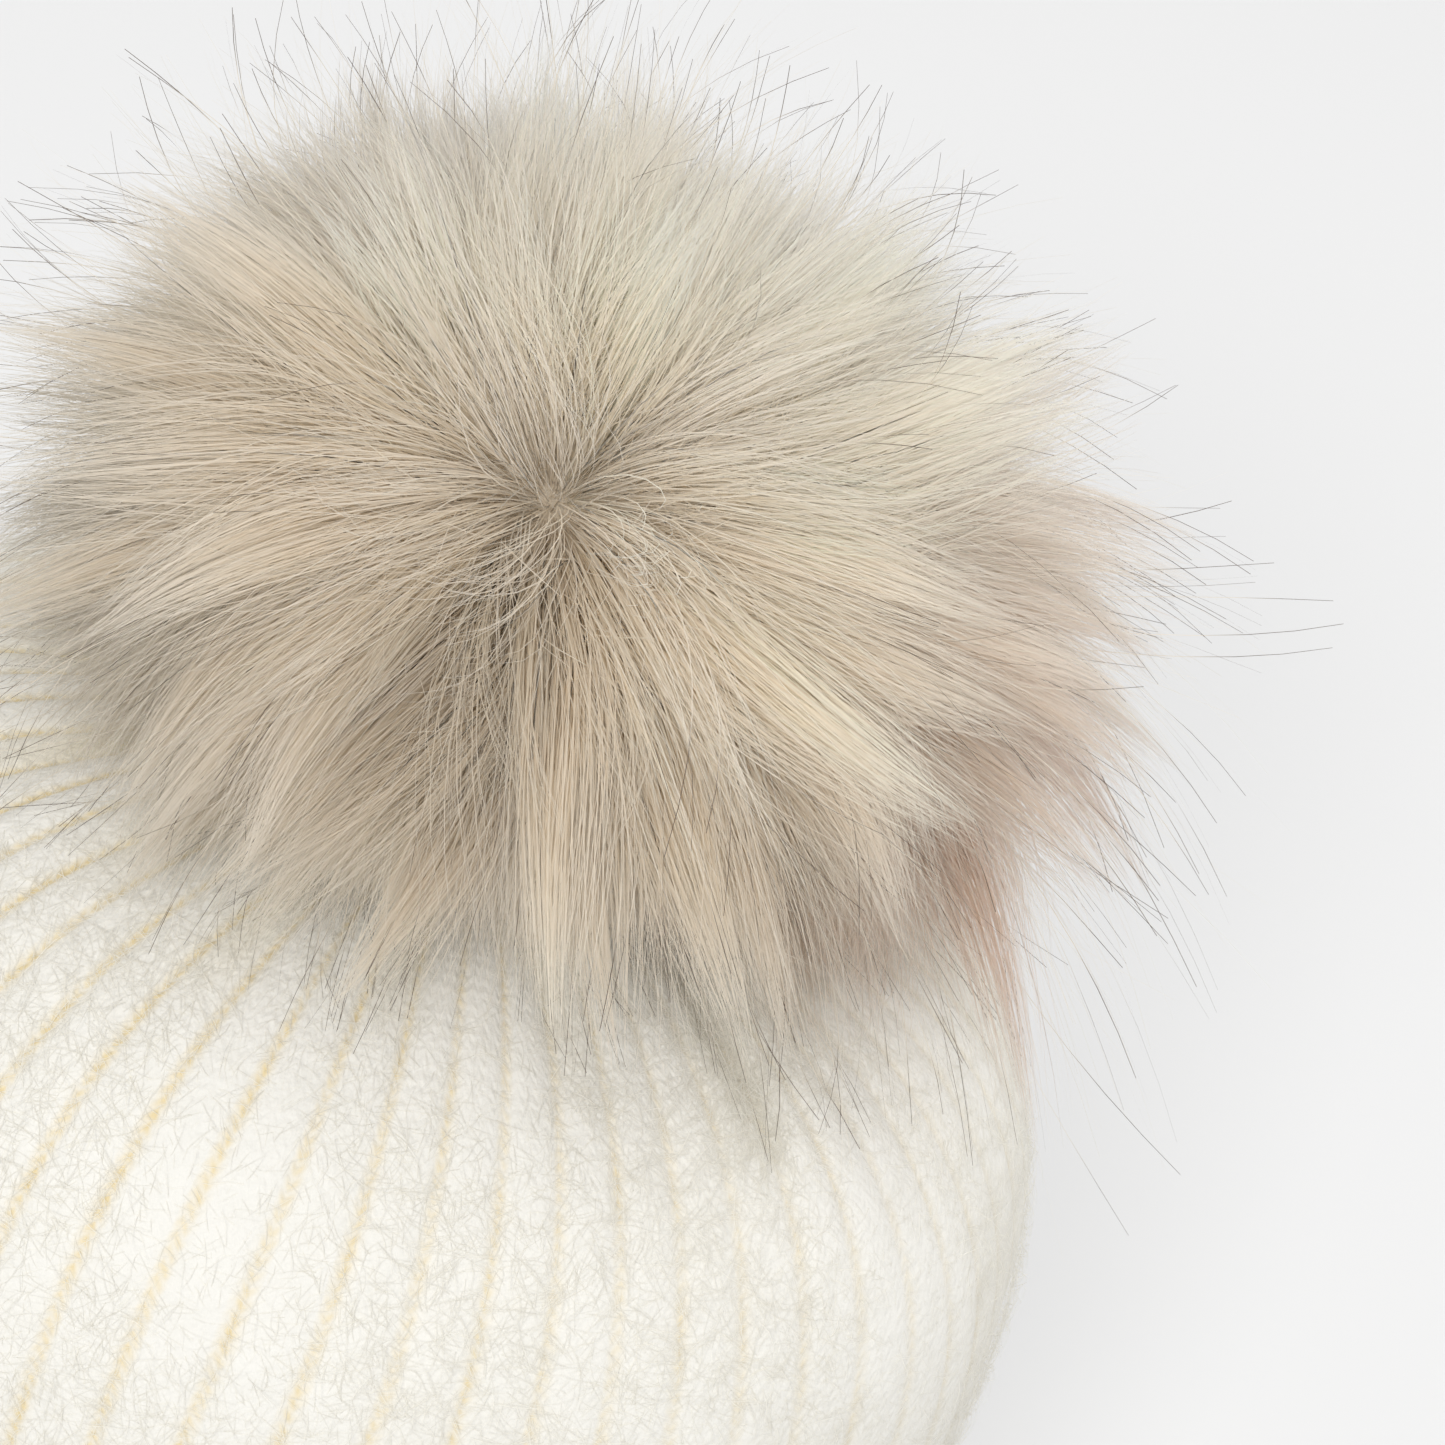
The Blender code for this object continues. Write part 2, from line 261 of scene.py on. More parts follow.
def twisted_ring(name, node, oval, turns, share, material):
    """Three plies twisted round the level ring of a CAD node, at a share of its thickness."""
    low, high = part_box(node)
    half = (high.z - low.z) / 2
    wire = half * share
    angle = np.linspace(0.0, math.tau, turns * 12, endpoint=False)
    centre, out = ring_places(high.x - half, oval, (low.z + high.z) / 2, angle)
    phases = [(angle * turns + math.tau * ply / 3)[:, None] for ply in range(3)]
    paths = np.array([centre + wire * 0.5 * (out * np.cos(phase) + UP * np.sin(phase)) for phase in phases])
    return tubes(name, paths, wire * 0.52, out, material, closed=True)


def stitches(name, starts, ends, lift, wire, material):
    """Short bowed stitches between (n, 3) starts and ends, standing along lift in the middle."""
    share = np.linspace(0.0, 1.0, 9)[:, None]
    bow = np.sin(share * math.pi) ** 0.6
    lift = np.broadcast_to(lift, starts.shape)[:, None]
    paths = starts[:, None] * (1 - share) + ends[:, None] * share + lift * bow
    radii = wire * np.array([0.1, 0.7, 0.95, 1.0, 1.0, 1.0, 0.95, 0.7, 0.1])
    return tubes(name, paths, radii, lift, material)


def ring_places(radius, oval, height, turn):
    """Points and outward directions at the given turns round a level ring."""
    return polar(radius, turn, height, oval), polar(1.0, turn, 0.0)


def paint_uv(item, u, v):
    """A UV layer from one value of u and v per point; the last column's u runs on past the seam."""
    mesh = item.data
    index = np.zeros(len(mesh.loops), np.int32)
    mesh.loops.foreach_get("vertex_index", index)
    uv = np.stack([u[index], v[index]], axis=-1).reshape(-1, 4, 2)
    span = u.max() - u.min()
    low = uv[:, :, 0].max(axis=1, keepdims=True) - uv[:, :, 0] > span / 2
    uv[:, :, 0] += low * span * (1 + 1 / (len(np.unique(np.round(u, 6))) - 1))
    mesh.uv_layers.new(name="knit").data.foreach_set("uv", uv.astype(np.float32).ravel())


# ---- the hat's shape ----
def hat_profile(count, offset=0.0, last=0.0):
    """Evenly spaced points of the hat's side, crown to rim, as radius, height and run length."""
    power = 2.0 / SQUARENESS
    angle = np.linspace(0.0, math.pi / 2, 400)
    radius = (BELLY - offset) * np.sin(angle) ** power
    height = BELLY_LEVEL + (CROWN - offset - BELLY_LEVEL) * np.maximum(np.cos(angle), 0.0) ** power
    share = np.linspace(0.0, 1.0, 60)[1:]
    ease = share * share * (3 - 2 * share)
    radius = np.concatenate([radius, BELLY - offset + (RIM - BELLY) * ease, [RIM - offset]])
    height = np.concatenate([height, BELLY_LEVEL + (EASE_END - BELLY_LEVEL) * share, [last]])
    run = np.concatenate([[0.0], np.cumsum(np.hypot(np.diff(radius), np.diff(height)))])
    even = np.linspace(0.003, run[-1], count)
    return np.interp(even, run, radius), np.interp(even, run, height), even


def hat_height(x, y):
    """Height of the smooth crown above a point of the plan, or well below it outside the belly."""
    reach = np.hypot(x, y / OVAL) / BELLY
    inside = np.maximum(1.0 - np.minimum(reach, 1.0) ** SQUARENESS, 0.0) ** (1.0 / SQUARENESS)
    return np.where(reach < 1.0, BELLY_LEVEL + (CROWN - BELLY_LEVEL) * inside, -1.0)


# Gathers that run out from the crown: azimuth in degrees, half width in degrees, depth, run length.
GATHERS = [(-38, 2.6, 0.0026, 0.076), (-62, 3.2, 0.0028, 0.066), (-86, 3.6, 0.0034, 0.062),
           (-107, 3.4, 0.0036, 0.070), (-128, 3.8, 0.0036, 0.066), (-150, 4.0, 0.0050, 0.072),
           (-22, 3.6, 0.0020, 0.060), (2, 4.2, 0.0026, 0.066), (27, 3.5, 0.0030, 0.062),
           (50, 4.4, 0.0060, 0.078), (74, 3.6, 0.0045, 0.066), (97, 4.0, 0.0055, 0.074),
           (121, 3.5, 0.0040, 0.064), (145, 4.3, 0.0055, 0.078), (168, 3.6, 0.0045, 0.066),
           (-172, 3.8, 0.0050, 0.070)]


def gather_depth(azimuth, run):
    """How far the crown's gathers pull the knit in at each point."""
    degrees = np.degrees(azimuth)
    depth = np.zeros(np.broadcast(azimuth, run).shape)
    for centre, width, deep, length in GATHERS:
        away = (degrees - centre + 180.0) % 360.0 - 180.0
        spread = width * (0.55 + 0.9 * np.minimum(run / length, 1.0))
        groove = np.exp(-((away / spread) ** 2))
        fade = np.clip(1.0 - run / length, 0.0, 1.0) ** 0.8 * np.clip(run / 0.020, 0.0, 1.0)
        depth = np.maximum(depth, deep * groove * fade)
    return depth


def left_share(azimuth):
    """1 on the hat's left side and 0 on its right, where the brushing hides the ribs."""
    return 0.5 - 0.5 * np.cos(azimuth)


def rib_depth(azimuth, run):
    """How deep the ribs are: shallow by the crown, and shallower on the right than on the left."""
    return RIB_DEPTH * np.clip(run / 0.030, 0.25, 1.0) * (0.50 + 0.60 * left_share(azimuth))


def rib_turns(azimuth, run):
    """The place around the hat in ribs, with the ribs' slow wander."""
    wander = 0.10 * np.sin(3 * azimuth + run * 31.0) + 0.07 * np.sin(7 * azimuth - run * 47.0)
    return azimuth / math.tau * RIBS + wander


def rib_shape(turns):
    """Height of the rib cross-section, 0 in the groove to 1 on the crest; turns counts ribs."""
    phase = (turns % 1.0) * 2 - 1
    crest = np.clip(np.cos(phase * math.pi / 2), 0, 1) ** 0.55
    split = 0.10 * np.exp(-(phase / 0.12) ** 2)
    return crest - split


def outward(radius, height):
    """The normals of a profile that runs down the hat, as columns of radial and upward parts."""
    slope_r, slope_z = np.gradient(radius), np.gradient(height)
    size = np.hypot(slope_r, slope_z)
    return (-slope_z / size)[:, None], (slope_r / size)[:, None]


def knit_surface(azimuth, profile, relief):
    """Points of the ribbed, gathered wall over a smooth profile, with their rib height and fold depth."""
    radius, height, run = (part[:, None] for part in profile)
    crest = rib_shape(rib_turns(azimuth, run))
    lump = 0.0004 * np.sin(5 * azimuth + 40 * run) + 0.0003 * np.sin(11 * azimuth - 63 * run)
    fold = gather_depth(azimuth, run)
    out = rib_depth(azimuth, run) * (crest - RIB_MIDDLE) * relief + lump - fold
    normal_r, normal_z = outward(*profile[:2])
    rise = height + out * np.maximum(normal_z, 0.0)
    return polar(radius + out * normal_r, azimuth, rise, OVAL), crest, fold


# ---- knit ----
def knit_material(name):
    """Brushed cream yarn: painted beige shade in the rib grooves and painted yellow-beige shade in the
    gathers' folds, stitches in the bump, a soft sheen.
    """
    finish = Finish(name, (0.86, 0.84, 0.78), 0.9, 0.25)
    finish.set("Sheen Tint", (1.0, 0.97, 0.92))
    turns, run = finish.parts(finish.add("ShaderNodeUVMap", uv_map="knit").outputs["UV"])[:2]
    rows = finish.math("MULTIPLY", run, 1.0 / STITCH)
    wale = finish.math("MULTIPLY", turns, 4.0)
    across = finish.math("ABSOLUTE", finish.math("SUBTRACT", finish.math("FRACT", wale), 0.5))
    slant = finish.math("MULTIPLY_ADD", across, 1.3, rows)
    wave = finish.math("SINE", finish.math("MULTIPLY", slant, math.tau))
    bend = finish.math("POWER", finish.math("MULTIPLY", across, 2.0), 3.0)
    stitch = finish.math("MULTIPLY", wave, finish.math("SUBTRACT", 1.0, bend))
    lumps = finish.noise(260.0)
    height = finish.math("MULTIPLY_ADD", stitch, 0.16, finish.noise(900.0, 3.0))
    finish.bump(finish.math("MULTIPLY_ADD", lumps, 0.9, height), 0.40, 0.0006)
    # painted shade: beige dashes in the rib grooves (red of the groove layer) and a yellow-beige in the
    # gathers' folds (green)
    painted = finish.add("ShaderNodeVertexColor", layer_name="groove").outputs["Color"]
    groove, fold = finish.add("ShaderNodeSeparateColor", (painted,)).outputs[:2]
    groove_shade = finish.math("MULTIPLY_ADD", wave, 0.35, finish.math("MULTIPLY", lumps, 2.0))
    groove_shade = finish.math("MULTIPLY", groove, groove_shade)
    groove_shade.node.use_clamp = True
    cream = finish.mix(lumps, (0.755, 0.74, 0.69), (0.815, 0.80, 0.755))
    beige = finish.mix(groove_shade, cream, (0.74, 0.62, 0.38))
    finish.set("Base Color", finish.mix(fold, beige, (0.86, 0.78, 0.58)))
    return finish.material


def knit_azimuth(columns):
    """Azimuths around the hat, from the seam at the back."""
    return np.linspace(0.0, math.tau, columns, endpoint=False)[None, :] + math.pi / 2


def knit_sheet(name, points, run, groove, fold, material, inward=False):
    """A ribbed sheet with its ribs as UVs, and the painted shade of its grooves and of its folds."""
    rows, columns = points.shape[:2]
    faces = grid_faces(rows, columns)
    item = mesh_object(name, points, faces[:, ::-1] if inward else faces, material)
    paint_uv(item, np.tile(np.arange(columns) * RIBS / columns, rows), np.repeat(run, columns))
    shares = np.clip([groove, fold, np.zeros(groove.shape)], 0, 1)
    paint(item, "groove", np.moveaxis(shares, 0, -1))
    return item


def make_knit_body(material):
    azimuth = knit_azimuth(RIBS * 11)
    profile = hat_profile(148, 0.0, 0.006)
    points, crest, fold = knit_surface(azimuth, profile, 1.0)
    # shares of painted shade: in the rib grooves, stronger on the left where the ribs are deeper, and in the
    # gathers' folds
    groove = np.clip((0.62 - crest) / 0.50, 0, 1) * (0.25 + 0.95 * left_share(azimuth))
    fold = np.clip(fold / 0.0024, 0, 1) ** 1.5
    return knit_sheet("knit_outside", points, profile[2], groove, fold, material)


def make_knit_inside(material):
    profile = hat_profile(90, KNIT, 0.006)
    points, crest, fold = knit_surface(knit_azimuth(RIBS * 6), profile, -0.6)
    # painted shade on the inside: a share from the rib height, and one in the gathers' folds
    fold = np.clip(fold / 0.006, 0, 1) ** 1.5
    return knit_sheet("knit_inside", points, profile[2], crest - 0.6, fold, material, inward=True)


def cuff_outline(count):
    """The cuff's section: up inside the brow, round the fold at the rim, up outside, over its top edge."""
    inner = RIM - KNIT + 0.0002
    outer = CUFF_OUT - RIB_DEPTH * 0.3
    middle, half = (inner + outer) / 2, (outer - inner) / 2
    lip, shoulder = 0.0024, CUFF_TOP - 0.0025
    corners = [(inner, 0.020), (inner, half)]
    for angle in math.pi - math.pi * np.arange(1, 12) / 12:
        corners.append((middle + half * math.cos(angle), half * (1 - math.sin(angle))))
    corners += [(outer, half), (outer, shoulder)]
    for angle in math.pi * np.arange(1, 8) / 8:
        corners.append((outer - lip + lip * math.cos(angle), shoulder + lip * math.sin(angle)))
    corners.append((outer - 2 * lip, CUFF_TOP - 0.012))
    corners = np.array(corners)
    run = np.concatenate([[0.0], np.cumsum(np.hypot(*np.diff(corners, axis=0).T))])
    even = np.linspace(0.0, run[-1], count)
    return np.interp(even, run, corners[:, 0]), np.interp(even, run, corners[:, 1]), even


def make_cuff(material):
    azimuth = knit_azimuth(RIBS * 11)
    profile = cuff_outline(74)
    radius, height, run = (part[:, None] for part in profile)
    crest = rib_shape(azimuth / math.tau * RIBS + 0.05 * np.sin(4 * azimuth + run * 60))
    out = RIB_DEPTH * (crest - RIB_MIDDLE) + 0.0004 * np.sin(5 * azimuth + 30 * run)
    normal_r, normal_z = outward(*profile[:2])
    rise = np.maximum(height - out * normal_z, 0.0004)
    points = polar(radius - out * normal_r, azimuth, rise, OVAL)
    # share of painted shade in the cuff's rib grooves
    groove = (0.45 - crest) / 0.45
    return knit_sheet("cuff", points, profile[2], groove, np.zeros(crest.shape), material, inward=True)


# ---- fur ----
POM_CENTRE = np.array([0.0, 0.0, CORE_LEVEL])
POUCH_SIZE = np.array([CORE, CORE, CORE_RISE])
PILE_OUT = POM * 1.08
# the pile's outline, upper half and lower half
PILE_UP = np.array([PILE_OUT, PILE_OUT, (FUR_HIGH.z - CORE_LEVEL) * 0.94])
PILE_DOWN = np.array([PILE_OUT, PILE_OUT, CORE_LEVEL - FUR_LOW.z + 0.022])
MOST_X = 0.106                             # how far to the side any hair may reach
WHORL = toward(-0.03, -0.66, 0.75)         # where the pile parts
CLEFT_END = toward(0.02, -0.95, 0.30)      # a bare cleft runs down from it to here
FALL = toward(0.24, -0.36, -0.90)          # the way the pile is brushed down
CREST = toward(-0.30, -0.10, 0.95)         # where it stands up airily
DOWNHILL = toward(0.375, -0.545, -0.75)    # straight down and straight across, seen from the front
ACROSS = toward(0.927, 0.220, 0.303)
TUFTS = 118
LOCKS = 1500
UNDERFUR = 14500                           # strands in each of the underfur's pieces
TAPER = np.array([1.1, 1.1, 1.0, 0.85, 0.65, 0.42, 0.16])      # widths along a strand, after its root


def sphere_points(count, rng, jitter=0.6):
    """Nearly even directions over a sphere."""
    index = np.arange(count) + 0.5
    z = 1 - 2 * index / count
    points = polar(np.sqrt(1 - z * z), index * math.pi * (3 - math.sqrt(5)), z)
    spacing = math.sqrt(4 * math.pi / count)
    return unit(points + rng.normal(size=points.shape) * spacing * jitter * 0.5)


def nearest(points, anchors, block=4000):
    """For each point the index of its nearest anchor, both unit vectors, worked out in blocks."""
    parts = [points[start:start + block] for start in range(0, len(points), block)]
    return np.concatenate([np.argmax(part @ anchors.T, axis=1) for part in parts])


def cleft_share(normals):
    """1 on the bare cleft below the whorl and 0 away from it, and the directions that lead out of it."""
    reach = CLEFT_END - WHORL
    share = (normals - WHORL) @ reach / (reach @ reach)
    spot = unit(WHORL + np.clip(share, 0.0, 1.0)[:, None] * reach)
    gap = normals - spot
    far = np.linalg.norm(gap, axis=1)
    part = np.exp(-(far / 0.15) ** 2) * np.clip(share * 4.0, 0.0, 1.0)
    return part, gap / np.maximum(far, 1e-6)[:, None]


def flow_away(normals):
    """Unit tangents that run away from the whorl, swirled and parted at the cleft, and the angle from it."""
    cosine = np.clip(normals @ WHORL, -1, 1)
    angle = np.arccos(cosine)
    flow = unit(normals * cosine[:, None] - WHORL)
    x, y, z = normals.T
    swirl = 0.42 * np.sin(4.3 * x + 2.1 * z + 0.7) * np.cos(3.7 * y - 2.9 * z)
    swirl += 0.26 * np.sin(9.1 * x - 7.3 * z + 1.9) + 0.20 * np.sin(15.0 * x + 11.0 * z + 4.0)
    swirl += 0.20 * np.exp(-(angle / 0.30) ** 2) * np.sin(23.0 * x + 19.0 * z)
    flow = flow * np.cos(swirl)[:, None] + np.cross(normals, flow) * np.sin(swirl)[:, None]
    part, aside = cleft_share(normals)
    return unit(flow + 0.5 * part[:, None] * aside), angle


def side_share(normals, way, power=1.0):
    """1 on the side of the pom that faces this way, and 0 square to it and beyond."""
    return np.clip(normals @ toward(*way), 0, 1) ** power


def trailing_share(normals):
    """1 where the pile falls longest, over the right shoulder, and 0 away from it."""
    return side_share(normals, (0.84, 0.26, -0.46), 4)


def left_fall(normals):
    """1 where the pile hangs low over the left of the crown, and 0 away from it."""
    return side_share(normals, (-0.74, -0.39, -0.54), 4)


def reach_of(normals):
    """Uneven outline of the pile, and its long falls to both sides, as a share of the outline."""
    x, y, z = normals.T
    uneven = 0.05 * np.sin(7.0 * x + 3.0 * y) * np.sin(6.0 * z + 2.0 * x) + 0.04 * np.sin(13.0 * x - 9.0 * z)
    return 1.0 + uneven + 0.85 * trailing_share(normals) + 0.30 * left_fall(normals)


def fit_outline(root, offset, length, limit):
    """Shorten the strands whose tips would pass the outline times limit."""
    tip = root - POM_CENTRE + offset * length[:, None]
    axes = np.where(tip[:, 2:3] > 0.0, PILE_UP, PILE_DOWN)
    start = (root - POM_CENTRE) / axes
    course = offset / axes
    a = (course * course).sum(axis=1)
    b = (start * course).sum(axis=1)
    c = (start * start).sum(axis=1) - limit * limit
    most = (-b + np.sqrt(np.maximum(b * b - a * c, 0.0))) / np.maximum(a, 1e-9)
    side = (MOST_X - np.abs(root[:, 0])) / np.maximum(np.abs(offset[:, 0]), 1e-6)
    return np.clip(np.minimum(np.minimum(length, most), side), 0.006, None)


def follow(heading):
    """Paths from nothing along a heading at each step, of unit length if they ran straight."""
    path = np.zeros(heading.shape)
    path[:, 1:] = np.cumsum(0.5 * (heading[:, 1:] + heading[:, :-1]) / (heading.shape[1] - 1), axis=1)
    return path


def drawn(draw, value, count):
    """A value as it is, or a pair of numbers handed to a random draw for every strand."""
    return draw(*value, count) if isinstance(value, tuple) else value


def grow(normals, rng, steps, length, lean, droop, wobble, limit=1.0):
    """Strand paths: they leave the pouch, bend over into the flow, wave a little and fall.

    lean, in degrees, is added to the lean that the place on the pom gives; limit is a share of the pile's
    outline. A pair is drawn for each strand: low and high, or for lean and wobble middle and spread.
    """
    count = len(normals)
    length = drawn(rng.uniform, length, count)
    lean = np.radians(drawn(rng.normal, lean, count))
    droop = drawn(rng.uniform, droop, count)
    wobble = drawn(rng.normal, wobble, count)
    limit = drawn(rng.uniform, limit, count)
    share = np.linspace(0.0, 1.0, steps)
    flow, angle = flow_away(normals)
    side = unit(np.cross(normals, flow))
    base = np.clip(np.radians(74.0) - 0.52 * angle, np.radians(20.0), None)
    base = base * (1 - 0.6 * np.exp(-(angle / 0.10) ** 2)) + lean
    bend = (base[:, None] * (0.42 + 0.78 * share))[:, :, None]
    phase = rng.uniform(0, math.tau, count)[:, None]
    wave = 0.08 * np.sin(phase + share * rng.uniform(3.0, 8.0, count)[:, None])
    swing = wobble[:, None] * (0.2 + 1.3 * share) + wave
    heading = normals[:, None] * np.cos(bend) + flow[:, None] * np.sin(bend)
    heading = heading + side[:, None] * swing[:, :, None]
    low = np.clip(0.55 - normals @ CREST, 0.0, 1.2)
    fall = (droop * (0.25 + 1.2 * low) + 0.8 * trailing_share(normals))[:, None] * share ** 1.3
    path = follow(unit(heading + FALL * fall[:, :, None]))
    root = POM_CENTRE + normals * POUCH_SIZE + normals * 0.0004
    length = length * (1.0 + 0.70 * trailing_share(normals) + 0.30 * left_fall(normals))
    length = fit_outline(root, path[:, -1], length, limit * reach_of(normals))
    return root[:, None] + path * length[:, None, None]


def rest_on_hat(paths, clear):
    """Strands that would pass through the crown lie on it instead."""
    floor = hat_height(paths[:, :, 0], paths[:, :, 1]) + clear[:, None]
    share = np.linspace(0.0, 1.0, paths.shape[1])
    paths[:, :, 2] = np.where(share > 0.05, np.maximum(paths[:, :, 2], floor), paths[:, :, 2])
    return paths


def clump(paths, guides, index, strength, power, reach):
    """Draw strands onto their guides; each ends at its own share of its guide's length, so tips point."""
    share = np.linspace(0.0, 1.0, paths.shape[1])
    pull = strength[:, None] * share ** power
    place = share * reach[:, None] * (guides.shape[1] - 1)
    before = np.minimum(place.astype(int), guides.shape[1] - 2)
    part = (place - before)[:, :, None]
    target = guides[index[:, None], before] * (1 - part) + guides[index[:, None], before + 1] * part
    return paths + (target - paths) * pull[:, :, None]


def grown_directions(count, rng):
    """Root directions on the pouch, leaving its mouth bare."""
    directions = sphere_points(int(count * DENSITY), rng)
    return directions[directions[:, 2] > -0.86]


def pile_facing(paths):
    """Outward directions of the pom at each strand point, tipped up a little, for soft shading."""
    away = unit((paths - POM_CENTRE) / np.array([1.0, 1.0, 0.8]))
    away[:, :, 2] = np.maximum(away[:, :, 2], -0.25) + 0.22
    return unit(away)


def lay_pile(paths, rng, clear, width, taper, middle, tumble):
    """Rest strands on the crown; returns them with their widths, facing and a tumbled roll."""
    count = len(paths)
    paths = rest_on_hat(paths, rng.uniform(*clear, count))
    widths = rng.uniform(*width, count)[:, None] * taper
    facing = pile_facing(paths)
    roll = unit(facing[:, middle] + tumble * rng.normal(size=(count, 3)))
    return paths, widths, facing, roll


def fur_colours(paths, normals, tint, lift):
    """Beige along each strand, brown at the root and pale at the tip, with painted light and shade: paler up
    behind as painted light, a pinker painted cast on the lit right side, and painted shade on the left, low
    in front and in the cleft below the whorl.
    """
    share = np.linspace(0.0, 1.0, paths.shape[1])[:, None]
    root = np.array([0.93, 0.84, 0.71])
    middle = np.array([0.93, 0.855, 0.74])
    tip = np.array([0.955, 0.92, 0.86])
    rise = np.clip(share / 0.42, 0, 1)
    fall = np.clip((share - 0.42) / 0.58, 0, 1)
    # painted light and shade by side: a lit pinker right, a paler top behind, and painted shade low in front,
    # on the left and in the cleft
    sides = (side_share(normals, (0.80, 0.30, -0.10), 1.5), side_share(normals, (0.12, 0.50, 0.86), 1.2),
             side_share(normals, (0.30, -0.50, -0.80)), side_share(normals, (-0.90, -0.30, -0.25)),
             cleft_share(normals)[0])
    lit_pink, pale, low, left, cleft = (side[:, None, None] for side in sides)
    colour = root * (1 - rise) + middle * rise * (1 - fall) + tip * fall
    colour = colour * (1 + lit_pink * np.array([0.04, -0.02, 0.03])) * (1 - 0.12 * left)
    colour = colour * (1 - 0.85 * pale) + np.array([0.975, 0.97, 0.96]) * 0.85 * pale
    colour = colour * (1 - low * (1 - share) ** 0.6 * np.array([0.50, 0.57, 0.68]))
    colour = colour * (1 - cleft * (1 - share) ** 0.5 * np.array([0.25, 0.28, 0.33]))
    return np.clip(colour * tint[:, None, :] * lift[:, None, None], 0, 0.97)


def make_locks(rng):
    """Guide paths: big tufts, and the locks that lean towards them."""
    tuft_normals = sphere_points(TUFTS, rng, 1.2)
    tufts = grow(tuft_normals, rng, 8, (0.036, 0.058), (2, 14), (0.3, 1.1), (0, 0.32), (0.86, 1.20))
    lock_normals = sphere_points(LOCKS, rng, 1.0)
    reach = rng.uniform(0.62, 1.0, LOCKS)
    length = rng.uniform(0.042, 0.056, LOCKS) * reach
    locks = grow(lock_normals, rng, 8, length, (0, 12), (0.2, 0.9), (0, 0.24), (0.86, 1.18))
    tuft = nearest(unit(lock_normals + rng.normal(size=lock_normals.shape) * 0.04), tuft_normals)
    low = np.clip(0.80 - lock_normals @ CREST, 0.25, 1.0)
    strength = np.clip(rng.uniform(0.5, 1.0, TUFTS)[tuft] * (0.20 + 0.75 * low), 0.0, 0.90)
    return lock_normals, clump(locks, tufts, tuft, strength, 1.15, reach), tuft


def make_underfur(material):
    """The dense pile: every strand leans towards its lock."""
    rng = np.random.default_rng(11)
    lock_normals, locks, tuft = make_locks(rng)
    warm = rng.uniform(0, 1, LOCKS) * 0.5 + rng.uniform(0, 1, tuft.max() + 1)[tuft] * 0.5
    lock_tint = np.stack([1.0 + 0.02 * warm, 0.99 + 0.005 * warm, 0.985 - 0.07 * warm], axis=-1)
    lock_lift = rng.normal(1.0, 0.025, LOCKS) * rng.normal(1.0, 0.03, tuft.max() + 1)[tuft]
    taper = np.array([0.9, *TAPER])
    pieces = []
    for number in range(6):
        normals = grown_directions(UNDERFUR, rng)
        count = len(normals)
        index = nearest(unit(normals + rng.normal(size=normals.shape) * 0.012), lock_normals)
        reach = 1.03 - 0.50 * rng.uniform(0, 1, count) ** 1.4
        length = rng.uniform(0.040, 0.052, count) * reach
        paths = grow(normals, rng, 8, length, (0, 10), (0.2, 0.9), (0, 0.13), (0.80, 1.16))
        paths = clump(paths, locks, index, rng.uniform(0.45, 0.96, count), 1.1, reach)
        laid = lay_pile(paths, rng, (0.0018, 0.0060), (0.00009, 0.00017), taper, 3, 0.45)
        paths, widths, facing, roll = laid
        lift = lock_lift[index] * rng.normal(1.0, 0.022, count)
        colours = fur_colours(paths, normals, lock_tint[index], lift)
        pieces.append(ribbons(f"underfur_{number + 1}", paths, widths, roll, colours, material, facing))
    return pieces


def make_tresses(material):
    """Pointed tresses that lie proud of the pile on the lower front and trail off the right shoulder."""
    rng = np.random.default_rng(83)
    front, trailing, strands = 24, 10, 365
    count = front + trailing
    # turn is from straight down and far is from the whorl, both as angles over the pom
    turn = np.concatenate([np.linspace(-112, 100, front), np.linspace(56, 104, trailing)])
    turn = np.radians(turn + rng.uniform(-5, 5, count))
    near, beyond = [0.40, 0.66, 0.52, 0.80], [1.02, 1.42]
    far = np.concatenate([np.tile(near, front // 4), np.tile(beyond, trailing // 2)])
    far = (far + rng.uniform(-0.06, 0.06, count))[:, None]
    heading = DOWNHILL * np.cos(turn)[:, None] + ACROSS * np.sin(turn)[:, None]
    centres = unit(WHORL * np.cos(far) + heading * np.sin(far))
    length = rng.uniform(0.050, 0.062, count)
    droop = 0.35 + 0.65 * np.cos(turn * 0.75) + rng.uniform(-0.15, 0.15, count)
    guides = grow(centres, rng, 9, length, (2, 6), droop, (0, 0.22), (1.06, 1.26))
    index = np.repeat(np.arange(count), int(strands * DENSITY))
    number = len(index)
    scatter = rng.normal(size=(number, 3))
    normals = unit(centres[index] + scatter * rng.uniform(0.06, 0.10, count)[index][:, None])
    reach = 1.04 - 0.52 * rng.uniform(0, 1, number) ** 1.2
    paths = grow(normals, rng, 9, length[index] * reach, (2, 8), droop[index], (0, 0.12), (0.95, 1.22))
    paths = clump(paths, guides, index, 0.97 - 0.5 * rng.uniform(0, 1, number) ** 1.6, 0.8, reach)
    taper = np.array([0.8, 1.0, *TAPER])
    paths, widths, facing, roll = lay_pile(paths, rng, (0.0025, 0.0080), (0.00010, 0.00017), taper, 4, 0.40)
    lift = rng.normal(1.0, 0.02, number) * rng.normal(1.0, 0.02, count)[index]
    colours = fur_colours(paths, normals, np.array([[1.01, 0.99, 0.955]]), lift)
    return ribbons("front_tresses", paths, widths, roll, colours, material, facing)


